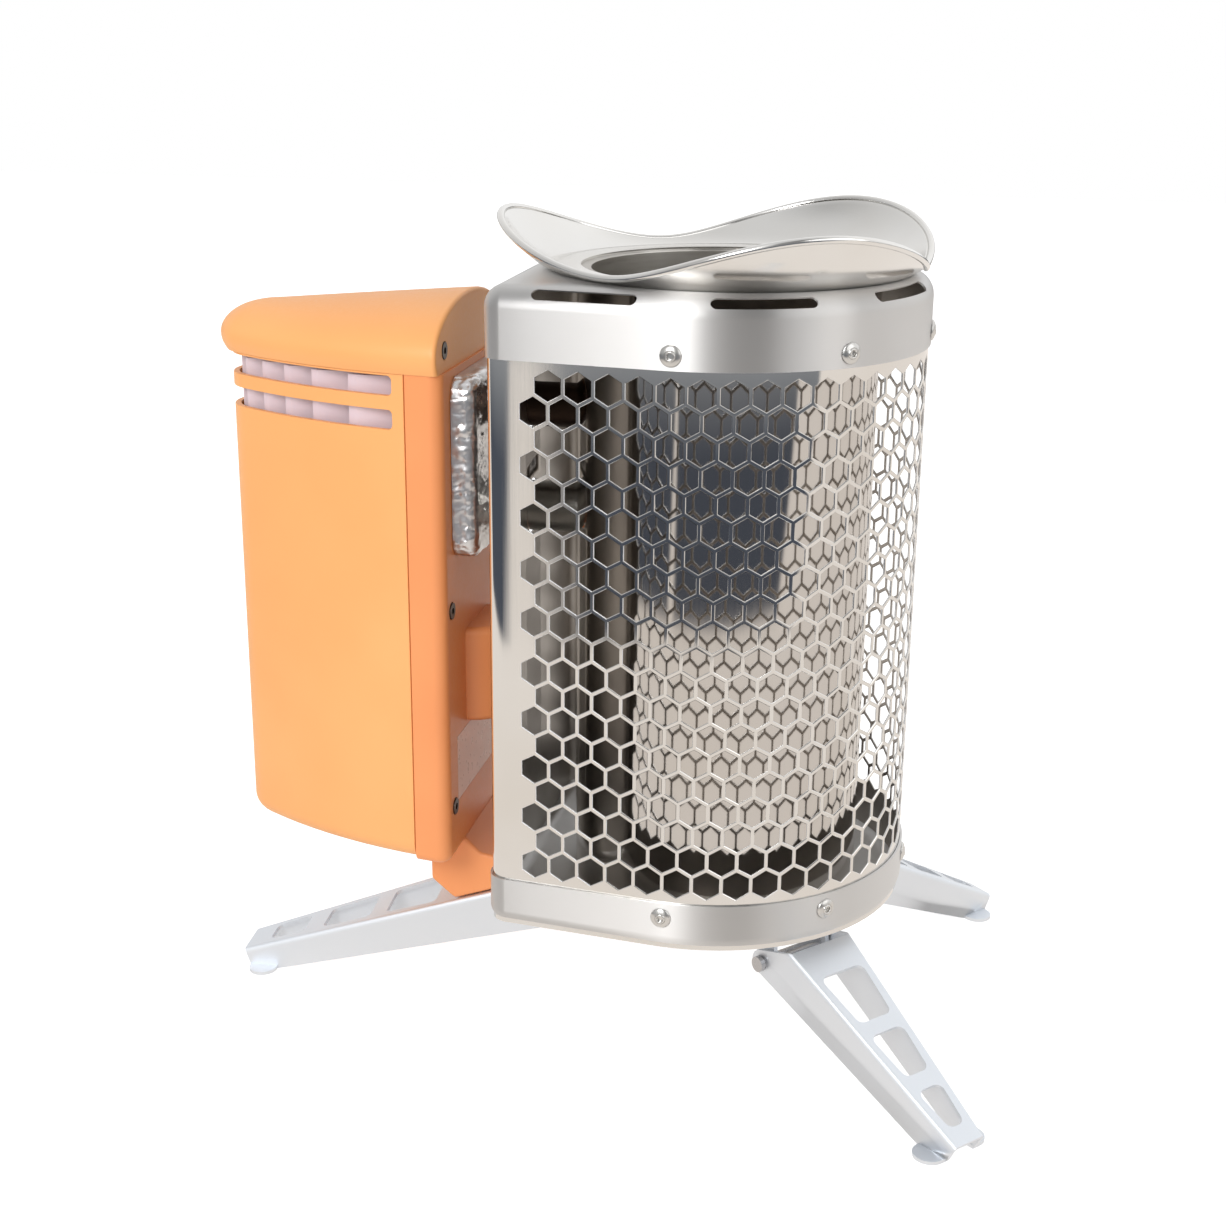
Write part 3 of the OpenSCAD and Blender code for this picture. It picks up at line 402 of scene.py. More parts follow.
def moulded(name, colour, shade, rough=0.42, grain=1.111, bump=0.12):
    """Moulded ABS or similar: colour drifting to shade, a spark-eroded grain (in mm) and a soft sheen."""
    mat, t = fresh(name)
    place = add(t, "ShaderNodeTexCoord")
    drift = add(t, "ShaderNodeTexNoise", inputs={"Vector": (place, "Object"), "Scale": per(DRIFT_SIZE),
                                                 "Detail": 2.0})
    amount = add(t, "ShaderNodeValToRGB", inputs={"Fac": (drift, "Fac")}, stops=[(0.35, 0.0), (0.7, 1.0)])
    mix = add(t, "ShaderNodeMix", {"data_type": "RGBA"},
              {FACTOR: (amount, "Color"), FIRST: linear(colour), SECOND: linear(shade)})
    spark = add(t, "ShaderNodeTexNoise", inputs={"Vector": (place, "Object"), "Scale": per(grain),
                                                 "Detail": 2.0})
    dents = add(t, "ShaderNodeBump", inputs={"Strength": bump, "Distance": 0.1 * MM,
                                             "Height": (spark, "Fac")})
    gloss = add(t, "ShaderNodeMapRange", inputs={"Value": (spark, "Fac"), "From Min": 0.3, "From Max": 0.7,
                                                 "To Min": rough - 0.04, "To Max": rough + 0.04})
    shader = add(t, "ShaderNodeBsdfPrincipled", inputs={"Base Color": (mix, MIXED),
                                                        "Roughness": (gloss, "Result"),
                                                        "Normal": (dents, "Normal")})
    add(t, "ShaderNodeOutputMaterial", inputs={"Surface": (shader, "BSDF")})
    return mat


MATERIALS = {
    # 2B stainless strip, polished: a mirror with the faintest upright rolling lines
    "polished_steel": steel("stainless_strip_polished", "#E2E0DD", 0.05, (60, 60, 1), 0.03, bump=0.01),
    # the jacket's tube is the same steel, a touch rougher, and darker as painted shade inside the shell
    "jacket_shaded_steel": steel("stainless_tube_dulled", "#CBC7C3", 0.06, (60, 60, 1), 0.03, bump=0.01),
    # stainless, belt-brushed around the shell: upright bands of light, soft along the lines
    "brushed_steel": steel("stainless_brushed_round", "#DAD9D8", 0.4, (1, 1, 90), 0.05, tint_share=0.06,
                           bump=0.03, around=0.95),
    # the strip's inner side, rougher and darker: its darker base and dark brown smudges are painted shade of
    # the shell's inside
    "shaded_inner_steel": steel("stainless_heat_tinted", "#C4BFB9", 0.34, (60, 60, 1), 0.05, "#6A6058", 0.5),
    # the punched holes' edges: a matt line around every hexagon, rough as sheared metal is, and whiter than
    # the strip as a painted highlight
    "sheared_highlight_steel": steel("stainless_sheared_edge", "#FAFAFA", 0.55, (1, 1, 30), 0.1, tint_share=0.0),
    # deep-drawn and tumbled stainless: bright, with faint spun rings
    "bright_steel": steel("stainless_drawn_bright", "#E9E8E6", 0.14, (2, 2, 30), 0.05, bump=0.03),
    # stainless that has been in the fire: duller and browner
    "dark_steel": steel("stainless_fired", "#CBC8C2", 0.3, (1, 1, 30), 0.12, "#5E4A38", 0.6),
    # bead-blasted stainless: pale, cool and without lines
    "leg_steel": steel("stainless_satin", "#EBEFF4", 0.5, (1, 1, 1), 0.08, "#E4E9F0", 0.3, bump=0.03),
    # upset stainless heads: a small, tight highlight
    "rivet_steel": steel("rivet_stainless", "#D8D7D5", 0.24, (1, 1, 1), 0.08),
    # ground stainless rod: fine turned rings
    "pin_steel": steel("pin_stainless", "#BDBDC0", 0.22, (1, 1, 30), 0.08),
    # rolled stainless tube: greyer than the shell
    "nozzle_steel": steel("duct_stainless", "#A8A6A2", 0.3, (1, 1, 20), 0.08),
    # copper gone dark in the fire
    "copper": steel("copper_bar_oxidised", "#54443C", 0.42, (1, 1, 30), 0.1, "#33291F", 0.7),
    # extruded and anodised: pale, matt and slightly pink beside the orange
    "sink_aluminium": moulded("aluminium_anodised_pale", "#E3D3DA", "#D6C4CC", 0.45, 2.0, 0.05),
    # oxide-blackened steel: dark with a dull shine
    "screw_steel": steel("screw_blackened", "#55504E", 0.34, (1, 1, 1), 0.1),
    # crumpled foil: bright facets, each turned its own way
    "foil": steel("aluminium_foil", "#E0E0E2", 0.24, (1, 1, 1), 0.1, bump=0.1),
    # ABS with a fine eroded grain: pale orange body, its shade a touch redder on the cover
    "orange_plastic": moulded("abs_orange", "#F6B06D", "#F2A966"),
    "cover_plastic": moulded("abs_orange_cover", "#F09B60", "#EB9359"),
    # plain film stuck to the cover: smoother, paler and pinker than the plastic
    "label_film": moulded("label_film", "#E2A98A", "#DC9F80", 0.3, 2.5, 0.03),
    # alumina plates: chalk white
    "ceramic": moulded("alumina", "#EDEBE6", "#E4E2DC", 0.5),
    # glass-filled nylon: near black, slightly rough
    "black_plastic": moulded("nylon_black", "#1B1C1E", "#222326", 0.45),
    # shrink wrap drawn tight over the cell: smooth and glossy
    "cell_wrap": moulded("shrink_wrap", "#2F5380", "#2A4A72", 0.25, 5.0, 0.03),
    # solder mask over glass-epoxy board: green and satin
    "board_green": moulded("solder_mask", "#1E5A34", "#184A2A", 0.35, 3.333, 0.05),
    # silicone rubber: dark grey without shine
    "button_grey": moulded("silicone_grey", "#3A3B3E", "#333437", 0.6),
    # a polished light pipe: near white and smooth
    "lens": moulded("light_pipe", "#E8ECEE", "#DDE2E6", 0.15, 5.0, 0.0),
}


# ---------------------------------------------------------------- shell plan
# A round front, two straight flanks that close in by TAPER, two corners and a flat back, measured in mm along
# the line from +X: s is positive on the +Y side.
CORNER_X = -(BACK_FLAT - CORNER_R)
CORNER_Y = (SHELL_R - CORNER_R + CORNER_X * math.sin(TAPER)) / math.cos(TAPER)
SIDE_TURN = rad(90) + TAPER
ARC_LEN = SHELL_R * SIDE_TURN
SIDE_LEN = -CORNER_X * math.cos(TAPER) - CORNER_Y * math.sin(TAPER)
TURN_LEN = CORNER_R * (math.pi - SIDE_TURN)
HALF_LEN = ARC_LEN + SIDE_LEN + TURN_LEN + CORNER_Y
ARC_STEPS, SIDE_STEPS, TURN_STEPS, BACK_STEPS = 40, 6, 8, 4
TURN_STOPS = [ARC_LEN + SIDE_LEN + TURN_LEN * i / TURN_STEPS for i in range(1, TURN_STEPS + 1)]


def on_plan(s, out=0.0):
    """The point of the shell's plan s mm along it from +X, moved out along its normal."""
    d, side = abs(s), 1 if s >= 0 else -1
    if d <= ARC_LEN:
        a = d / SHELL_R
        x, y, n = SHELL_R * math.cos(a), SHELL_R * math.sin(a), a
    elif d <= ARC_LEN + SIDE_LEN:
        a, n = SIDE_TURN, SIDE_TURN
        x = SHELL_R * math.cos(a) - (d - ARC_LEN) * math.sin(a)
        y = SHELL_R * math.sin(a) + (d - ARC_LEN) * math.cos(a)
    elif d <= ARC_LEN + SIDE_LEN + TURN_LEN:
        n = SIDE_TURN + (d - ARC_LEN - SIDE_LEN) / CORNER_R
        x, y = CORNER_X + CORNER_R * math.cos(n), CORNER_Y + CORNER_R * math.sin(n)
    else:
        n = math.pi
        x, y = -BACK_FLAT, HALF_LEN - d
    return (x + out * math.cos(n), side * (y + out * math.sin(n)))


def plan_points(out, z):
    """The closed plan at height z, anticlockwise, in steps of about 2.5 degrees."""
    stops = [ARC_LEN * i / ARC_STEPS for i in range(ARC_STEPS + 1)]
    stops += [ARC_LEN + SIDE_LEN * i / SIDE_STEPS for i in range(1, SIDE_STEPS + 1)]
    stops += TURN_STOPS
    stops += [HALF_LEN - CORNER_Y * (1 - i / BACK_STEPS) for i in range(1, BACK_STEPS)]
    loop = stops + [HALF_LEN] + [-s for s in stops[:0:-1]]
    return [(*on_plan(s, out), z) for s in loop]


def drawn_tray(name, out, z0, z1, closed_at, radius, wall):
    """A deep-drawn tray on the shell's plan: closed and rounded at closed_at, open at its other end."""
    open_at = z0 if closed_at == z1 else z1
    obj = pull(flat_face(name, plan_points(out, z0)), (0, 0, z1 - z0))
    bevelled(obj, lambda e: lies_at(e, Z, closed_at), radius, 8)
    opened(obj, lambda f: lies_at(f, Z, open_at))
    return use(obj, "SOLIDIFY", thickness=wall * MM, offset=-1, use_even_offset=True,
               use_quality_normals=True)


# ---------------------------------------------------------------- heat shield
ROW_STEP = HEX_PITCH * math.sqrt(3) / 2
HEX_SIDE = HEX_PITCH / math.sqrt(3)
FOOT_Z = PAN_Z + PAN_WALL                 # the shell and the jacket stand in the pan
EDGE_BREAK = 0.16                         # the deburred edges of the holes
MARGIN_STOPS = [HEX_COLUMNS / 2 * HEX_PITCH + 2, ARC_LEN + SIDE_LEN, *TURN_STOPS]
MARGIN_STOPS += [HALF_LEN - CORNER_Y * (1 - i / 5) for i in range(1, 6)]


def hex_row(columns, z):
    """A row of hexagon frames in the XZ plane, half a web wide."""
    deselect()
    bpy.ops.mesh.primitive_circle_add(vertices=6, radius=HEX_SIDE * MM, fill_type="NGON",
                                      location=(-(columns - 1) / 2 * HEX_PITCH * MM, 0, z * MM),
                                      rotation=(rad(90), 0, 0))
    cell = only(apply_place(bpy.context.object))
    bpy.ops.object.mode_set(mode="EDIT")
    bpy.ops.mesh.select_all(action="SELECT")
    bpy.ops.mesh.inset(thickness=HEX_WEB / 2 * MM)
    bpy.ops.mesh.delete(type="FACE")
    bpy.ops.object.mode_set(mode="OBJECT")
    return use(cell, "ARRAY", count=columns, use_relative_offset=False, use_constant_offset=True,
               constant_offset_displace=(HEX_PITCH * MM, 0, 0))


def outer_chain(bm):
    """The longest boundary loop: the sheet's own edge, not a hole's."""
    left = {e for e in bm.edges if e.is_boundary}
    best = set()
    while left:
        group, front = set(), [left.pop()]
        while front:
            e = front.pop()
            group.add(e)
            for v in e.verts:
                for o in v.link_edges:
                    if o in left:
                        left.remove(o)
                        front.append(o)
        if len(group) > len(best):
            best = group
    return best


def drawn_out(bm, edges, axis, value):
    """Extrudes edges and lays the new ones flat at value, in mm, as a scale to zero does by hand."""
    new = bmesh.ops.extrude_edge_only(bm, edges=list(edges))["geom"]
    for v in (g for g in new if isinstance(g, bmesh.types.BMVert)):
        v.co[axis] = value * MM
    return [g for g in new if isinstance(g, bmesh.types.BMEdge)]


def flat_sheet():
    """The rows of hexagons in the XZ plane, with plain margins out to the sheet's four edges."""
    rows = [hex_row(HEX_COLUMNS - j % 2, HEX_BOTTOM + j * ROW_STEP) for j in range(HEX_ROWS)]
    sheet = welded(joined(*rows), 0.05, outwards=False)
    reach = HEX_SIDE / 2 - 0.1            # from a row's centres to just short of its hexagons' sloping sides
    with mesh_of(sheet) as bm:
        edge = outer_chain(bm)
        upper = [e for e in edge if all(v.co.z > (HEX_BOTTOM + (HEX_ROWS - 1) * ROW_STEP + reach) * MM
                                        for v in e.verts)]
        lower = [e for e in edge if all(v.co.z < (HEX_BOTTOM - reach) * MM for v in e.verts)]
        drawn_out(bm, upper, Z, SHELL_TOP)
        drawn_out(bm, lower, Z, FOOT_Z)
        edge = outer_chain(bm)
        for side in (1, -1):
            run = [e for e in edge if sum(v.co.x for v in e.verts) * side > 0
                   and not lies_at(e, Z, SHELL_TOP) and not lies_at(e, Z, FOOT_Z)]
            for s in MARGIN_STOPS:
                run = [e for e in drawn_out(bm, run, X, side * s) if lies_at(e, X, side * s, 1e-7)]
        bmesh.ops.recalc_face_normals(bm, faces=bm.faces)
        if sum(f.normal.y for f in bm.faces) > 0:
            bmesh.ops.reverse_faces(bm, faces=bm.faces)
    return sheet


def wrapped(obj):
    """Bends a sheet that lies in the XZ plane (x along the plan, -y outwards) around the shell's plan."""
    for v in obj.data.vertices:
        v.co = at_burner(*on_plan(v.co.x / MM, -v.co.y / MM), v.co.z / MM)
    obj.data.update()
    return welded(obj, outwards=False)


def perforated_shell():
    """The punched strip, given its thickness, deburred and bent to the plan."""
    sheet = use(flat_sheet(), "SOLIDIFY", thickness=SHEET * MM, offset=-1)
    bevelled(sheet, lambda e: e.calc_face_angle(0) > rad(80)
             and all(abs(abs(v.co.x) - HALF_LEN * MM) > 1e-5 for v in e.verts), EDGE_BREAK, 1)
    return wrapped(sheet)


def entry_cutter(r, z, sides=64):
    """A bar through the flat back, for what enters the burner there."""
    return cylinder(r + ENTRY_GAP, 100, (-50, 0, z), "X", sides)


def entry_cutters():
    """The two bars for the air duct and the heat probe."""
    return (entry_cutter(NOZZLE_R, FAN_Z), entry_cutter(PROBE_R, PROBE_Z))


shell = cut(perforated_shell(), *entry_cutters())
piece(shell, "perforated_shell", "stove", "polished_steel", "heat_shield", angle=30)
# the inner side's painted-shade steel, and the holes' edges' painted-highlight steel
for slot in ("shaded_inner_steel", "sheared_highlight_steel"):
    shell.data.materials.append(MATERIALS[slot])
for face in shell.data.polygons:          # the side towards the fire takes the painted shade, and the holes' edges the painted highlight
    outwards = (face.center - at_burner(0, 0, face.center.z / MM)).normalized().dot(face.normal)
    face.material_index = 1 if outwards < -0.6 else 2 if outwards < 0.6 else 0


# ---------------------------------------------------------------- cap and pan
CAP_ROUND = 6.4
PAN_ROUND = 5.0
SLOT_HALF = rad(14)                       # half a slot's length, around the burner
SLOT_H = 3.7
SLOT_IN = 1.9                             # the slots' middle, in from the cap's side and down from its top
SLOT_REACH = 4.0                          # how far a cutter passes the slot's middle, both ways


def slot_cutter(middle):
    """A bar with round ends across the cap's shoulder, its middle at an angle around the burner."""
    r, z = SHELL_R + SKIN_OUT - SLOT_IN, CAP_TOP - SLOT_IN
    length, height, reach = SLOT_HALF * SHELL_R, SLOT_H / 2, SLOT_REACH / math.sqrt(2)
    end = [(length - height + height * math.sin(rad(a)), height * math.cos(rad(a)))
           for a in range(88, 0, -11)]
    run = [(-u, h) for u, h in end] + [((length - height) * i / 5, height) for i in range(-5, 6)] + end[::-1]
    rings = []
    for u, h in run:
        s, half = middle * SHELL_R + u, h / math.sqrt(2)
        corners = [(r - reach + half, z - reach - half), (r + reach + half, z + reach - half),
                   (r + reach - half, z + reach + half), (r - reach - half, z - reach + half)]
        if abs(middle) * SHELL_R < ARC_LEN:
            a, past, side = s / SHELL_R, 0.0, 1
        else:
            a, past, side = SIDE_TURN, abs(s) - ARC_LEN, 1 if s > 0 else -1
        rings.append([(q * math.cos(a) - past * math.sin(a), side * (q * math.sin(a) + past * math.cos(a)), w)
                      for q, w in corners])
    return welded(capped(lofted("slot", rings)))


cap = drawn_tray("cap", SKIN_OUT, CAP_Z, CAP_TOP, CAP_TOP, CAP_ROUND, SHEET)
cut(cap, cylinder(CAP_HOLE_R, 10, (MOUTH_X, 0, CAP_TOP), sides=128),
    *[slot_cutter(rad(RIVET_STEP) * (i + 0.5)) for i in range(-3, 3)])
piece(cap, "top_cap_drawn", "stove", "brushed_steel", "top_cap")

pan = drawn_tray("pan", PAN_OUT, PAN_Z, PAN_Z + PAN_H, PAN_Z, PAN_ROUND, PAN_WALL)
piece(pan, "base_pan_drawn", "stove", "brushed_steel", "base_pan")


# ---------------------------------------------------------------- rivets
# radius and height of a blind rivet's head: its flange, its dome, the groove around the mandrel and the hole
RIVET_PROFILE = [(0, 0), (3.1, 0), (3.1, 0.3), (2.9, 0.5), (2.5, 0.72), (2.0, 0.95), (1.7, 1.02), (1.62, 0.9),
                 (1.54, 1.04), (1.4, 1.22), (1.2, 1.3), (1.02, 1.26), (0.92, 1.1), (0.88, 0.3), (0, 0.3)]
RIVET_SIDES = 28


def rivet_at(s, z, seat):
    """A rivet's head s mm along the shell's plan, at height z, seated that far out from the plan."""
    x, y = on_plan(s)
    nx, ny = (a - b for a, b in zip(on_plan(s, 1.0), (x, y)))
    rings = []
    for r, h in RIVET_PROFILE:
        h += seat
        rings.append([(x + nx * h - ny * r * math.cos(a), y + ny * h + nx * r * math.cos(a),
                       z + r * math.sin(a)) for a in (TAU * k / RIVET_SIDES for k in range(RIVET_SIDES))])
    return welded(lofted("rivet", rings))


for name, z, seat, node in (("cap_rivet_heads", CAP_RIVET_Z, SKIN_OUT, "cap_rivets"),
                            ("pan_rivet_heads", PAN_RIVET_Z, PAN_OUT, "pan_rivets")):
    heads = joined(*[rivet_at(rad(i * RIVET_STEP) * SHELL_R, z, seat) for i in range(-2, 3)])
    piece(heads, name, "stove", "rivet_steel", node, angle=50)


# ---------------------------------------------------------------- jacket and chamber
CHAMBER_OUT = CHAMBER_R + SHEET
CHAMBER_FLANGE_R = CAP_HOLE_R - 0.4
JET_R = 2.2
JET_HEIGHTS = (CHAMBER_FLOOR + 8, CAP_TOP - 34, CAP_TOP - 22)
JETS = 18                                 # in each ring; one bar makes two


def tube(r, z0, z1, sides):
    """An open tube around the fire."""
    return cylinder(r, z1 - z0, (MOUTH_X, 0, (z1 + z0) / 2), sides=sides, caps=False)


def jet_bar(z, turn):
    """A bar across the chamber that makes two opposite air jets."""
    bar = cylinder(JET_R, 100, (MOUTH_X, 0, z), "X", 20)
    bar.data.transform(Matrix.Translation(at_burner(MOUTH_X)) @ Matrix.Rotation(turn, 4, "Z")
                       @ Matrix.Translation(-at_burner(MOUTH_X)))
    return bar


jacket = use(tube(JACKET_R, FOOT_Z, CAP_TOP - SHEET, 192), "SOLIDIFY", thickness=SHEET * MM, offset=-1)
cut(jacket, *entry_cutters())
piece(jacket, "air_jacket_tube", "stove", "polished_steel", "air_jacket")
# the jacket's steel made darker: painted shade inside the shell
jacket.data.materials[0] = MATERIALS["jacket_shaded_steel"]

chamber = tube(CHAMBER_OUT, CHAMBER_FLOOR, CAP_TOP - SHEET / 2, 144)
pick(chamber, lambda e: all(v.co.z > (CAP_TOP - 2) * MM for v in e.verts))
bpy.ops.mesh.extrude_edges_move()         # its flange, spun outwards under the pot stand
bpy.ops.transform.resize(value=(CHAMBER_FLANGE_R / CHAMBER_OUT,) * 2 + (1,),
                         center_override=at_burner(MOUTH_X, 0, CAP_TOP))
bpy.ops.object.mode_set(mode="OBJECT")
use(welded(chamber), "SOLIDIFY", thickness=SHEET * MM, offset=0)
jets = [jet_bar(z, TAU / JETS * (k + 0.5)) for z in JET_HEIGHTS for k in range(JETS // 2)]
cut(chamber, joined(*jets), entry_cutter(PROBE_R, PROBE_Z))
piece(chamber, "burn_chamber_tube", "stove", "dark_steel", "burn_chamber")


# ---------------------------------------------------------------- pot stand
THROAT_R = JACKET_R - 1
FLARE_R = 54.5                            # where the flat flange would meet the flare
FLANGE_UNDER, FLANGE_OVER = 1.6, 2.0      # the flange ends this far inside, on its underside and on top
FLARE_BEND = 30.0                         # the flare's radius in section
FLARE_SLOPE = rad(25)                     # the flare's slope where it starts
CRESTS = 3
RIM_MEAN = 8.3                            # the rim's mean height over the cap
RIM_WAVE = 6.6                            # how far it rises and falls from there
STAND_SHEET = 0.9
RIM_BEAD = 1.1                            # the rolled rim's radius
RIM_OUT = 0.45                            # the bead sits this far out, and the bowl runs smoothly into it
FLARE_CENTRE = (FLARE_R - FLARE_BEND * math.sin(FLARE_SLOPE), CAP_TOP + FLARE_BEND * math.cos(FLARE_SLOPE))
FLARE_STEPS, BEAD_STEPS, STAND_SIDES = 14, 12, 216


def on_flare(r, b):
    """Radius and height of the flare's section at slope b, r from its bend's centre."""
    return (FLARE_CENTRE[0] + r * math.sin(b), FLARE_CENTRE[1] - r * math.cos(b))


def stand_section(a):
    """The pot stand's section at angle a: flange, flare and rolled rim."""
    crest = CAP_TOP + RIM_MEAN + RIM_WAVE * math.cos(CRESTS * (a - math.pi))
    end = math.acos((FLARE_CENTRE[1] - crest) / FLARE_BEND)
    steps = [FLARE_SLOPE + (end - FLARE_SLOPE) * i / FLARE_STEPS for i in range(FLARE_STEPS + 1)]
    out = [(THROAT_R, CAP_TOP), (FLARE_R - FLANGE_UNDER, CAP_TOP)] + [on_flare(FLARE_BEND, b) for b in steps]
    cx, cz = on_flare(FLARE_BEND - STAND_SHEET / 2, end)
    cx += RIM_BEAD * 0.9 * math.cos(end) + RIM_OUT * math.sin(end)
    cz += RIM_BEAD * 0.9 * math.sin(end) - RIM_OUT * math.cos(end)
    for i in range(BEAD_STEPS + 1):       # the bead starts and ends where it meets the sheet's two sides
        t = rad(-55 + i * 290 / BEAD_STEPS)
        out.append((cx + RIM_BEAD * (math.cos(t) * math.sin(end) + math.sin(t) * math.cos(end)),
                    cz + RIM_BEAD * (-math.cos(t) * math.cos(end) + math.sin(t) * math.sin(end))))
    out += [on_flare(FLARE_BEND - STAND_SHEET, b) for b in reversed(steps)]
    out += [(FLARE_R - FLANGE_OVER, CAP_TOP + STAND_SHEET), (THROAT_R, CAP_TOP + STAND_SHEET)]
    return [(MOUTH_X + r * math.cos(a), r * math.sin(a), z) for r, z in out]


stand = lofted("stand", [stand_section(TAU * k / STAND_SIDES) for k in range(STAND_SIDES)], close_loft=True)
piece(welded(stand, 0.001), "pot_stand_flared", "stove", "bright_steel", "pot_stand", angle=75)


# ---------------------------------------------------------------- legs
# Each leg is built lying along +X from its pin, and then sloped, lifted and turned into place.
LEG_SHEET = 1.2
EAR_R = 4.2                               # around the pin
PIN_HOLE_R = 2.06
PLATE_LIFT = 12.6                         # the plate's upper face over the pin's axis
PLATE_START = 7.1
FOOT_LEN = 9.0                            # the heel's length on the ground
PAD_OUT = 1.6                             # how far the pads' straight part stands out
WINDOW_MARGIN = 3.5                       # between a window and the plate's side
WINDOW_R = 2.4
BEND_R = 2.0                              # outside the bends
SHORT = {"slope": rad(27.5), "plate": 75.6, "half_w": 12.7, "foot_w": 6.2,
         "windows": [(11, 29.5), (34.5, 50.4), (55.8, 69.6)]}
LONG = {"slope": rad(19.4), "plate": 109.0, "half_w": 16.2, "foot_w": 8.1,
        "windows": [(36.4, 55.3), (61.4, 79.5), (86.8, 100)]}


def at_pin(angle):
    """Lifts and turns what lies along +X from the origin out to the pin at an angle around the burner."""
    a = rad(angle)
    return (Matrix.Translation(at_burner(PIN_REACH * math.cos(a), PIN_REACH * math.sin(a), PIN_Z))
            @ Matrix.Rotation(a, 4, "Z"))


def touch(r, p, side):
    """The angle at which a line from p touches the circle of radius r around the pin."""
    return math.atan2(p[1], p[0]) + side * math.acos(r / math.hypot(*p))


def flange_outline(slope, end):
    """A flange from the side: round the ear, down to the heel, along the ground and back along the bend."""
    def ground(d):
        """The ground's place below a point d along the sloping leg."""
        return (d * math.sin(slope) - PIN_Z) / math.cos(slope)
    near, heel, toe = (PLATE_START, PLATE_LIFT), (end - FOOT_LEN, ground(end - FOOT_LEN)), (end, ground(end))
    a0, a1 = touch(EAR_R, near, 1), touch(EAR_R, heel, -1)
    while a1 < a0:
        a1 += TAU
    ear = [(EAR_R * math.cos(a), EAR_R * math.sin(a)) for a in (a0 + (a1 - a0) * k / 20 for k in range(21))]
    return ear + [heel, toe, (end, PLATE_LIFT), near]


def leg_piece(angle, slope, plate, half_w, foot_w, windows):
    """A pressed channel: plate with windows, two flanges with rounded bends, and two turned-out pads. half_w
    and foot_w are half its width at the plate's two ends, and windows say where each starts and ends along
    the plate."""
    end = PLATE_START + plate
    taper = math.atan((half_w - foot_w) / plate)
    pin_w = half_w + PLATE_START * math.tan(taper)
    outline = flange_outline(slope, end)
    under, lap = PLATE_LIFT - LEG_SHEET, LEG_SHEET / 2    # the plate's sides end inside the flanges
    body = prism([(PLATE_START, lap - half_w, under), (end, lap - foot_w, under), (end, foot_w - lap, under),
                  (PLATE_START, half_w - lap, under)], (0, 0, LEG_SHEET))
    flanges = [prism([(x, s * (pin_w - x * math.tan(taper)), z) for x, z in outline], (0, -s * LEG_SHEET, 0))
               for s in (1, -1)]
    cut(body, *flanges, operation="UNION")
    pick(body, lambda e: True)
    bpy.ops.mesh.dissolve_limited(angle_limit=rad(0.5))
    bpy.ops.object.mode_set(mode="OBJECT")

    def on_bend(e):
        """Whether an edge runs along the top of a flange."""
        return lies_at(e, Z, PLATE_LIFT, 1e-5) and all(
            abs(abs(v.co.y) / MM - (pin_w - v.co.x / MM * math.tan(taper))) < 0.02 for v in e.verts)
    bevelled(body, on_bend, BEND_R, 6)

    holes = []
    for d0, d1 in windows:
        w0, w1 = (half_w - d * math.tan(taper) - WINDOW_MARGIN - WINDOW_R for d in (d0, d1))
        x0, x1 = PLATE_START + d0 + WINDOW_R, PLATE_START + d1 - WINDOW_R
        loop = rounded_loop([(x0, -w0), (x1, -w1), (x1, w1), (x0, w0)], WINDOW_R)
        holes.append(prism([(x, y, PLATE_LIFT - 3) for x, y in loop], (0, 0, 6)))
    turns = [TAU * k / 32 for k in range(32)]
    bore = [(PIN_HOLE_R * math.cos(a), -60, PIN_HOLE_R * math.sin(a)) for a in turns]
    holes.append(prism(bore, (0, 120, 0)))
    cut(body, *holes)

    body.data.transform(Matrix.Rotation(slope, 4, "Y"))
    heel, toe = (d * math.cos(slope) + (d * math.sin(slope) - PIN_Z) / math.cos(slope) * math.sin(slope)
                 for d in (end - FOOT_LEN, end))
    mid, pad_r = (heel + toe) / 2, (toe - heel) / 2
    for s in (1, -1):
        rim = [(mid - pad_r * math.cos(a), s * (foot_w + PAD_OUT + pad_r * math.sin(a)))
               for a in (math.pi * k / 20 for k in range(21))]
        loop = [(heel, s * (foot_w - LEG_SHEET)), *rim, (toe, s * (foot_w - LEG_SHEET))]
        cut(body, prism([(x, y, -PIN_Z) for x, y in loop], (0, 0, LEG_SHEET)), operation="UNION")
    body.data.transform(at_pin(angle))
    return body


for name, angle, form in (("front", FRONT_ANGLE, SHORT), ("back", BACK_ANGLE, SHORT),
                          ("left", LEFT_ANGLE, LONG)):
    piece(leg_piece(angle, **form), name + "_leg_pressed", name + "_leg", "leg_steel", name + "_leg")


# ---------------------------------------------------------------- power module: plan
# Two bulging sides that run out of the cover's corners and meet in a round nose.
LEAD_X = FACE_X + 6                       # behind the burner's axis, where the module is at its widest
SIDE_CX = SIDE_R * math.sin(SIDE_LEAD) - LEAD_X
SIDE_CY = MODULE_HALF_W - SIDE_R * math.cos(SIDE_LEAD)
NOSE_X = SIDE_CX - math.sqrt((SIDE_R - NOSE_R) ** 2 - SIDE_CY ** 2)
NOSE_ANGLE = rad(90) + math.asin((SIDE_CX - NOSE_X) / (SIDE_R - NOSE_R))
NOSE_STEPS = 14
EDGE_X = -(FACE_X + FACE_CORNER_R)
EDGE_Y = SIDE_CY + math.sqrt((SIDE_R - FACE_CORNER_R) ** 2 - (SIDE_CX - EDGE_X) ** 2)
EDGE_ANGLE = rad(90) + math.asin((SIDE_CX - EDGE_X) / (SIDE_R - FACE_CORNER_R))
EDGE_STEPS = 8
SEAM_X = -(FACE_X + SEAM_DEPTH)
SEAM_GAP = 0.4                            # the open joint line between the housing and the cover


def mirrored(half):
    """A half outline on the +Y side and its mirror image, as one run."""
    return half + [(x, -y) for x, y in reversed(half) if abs(y) > 1e-6]


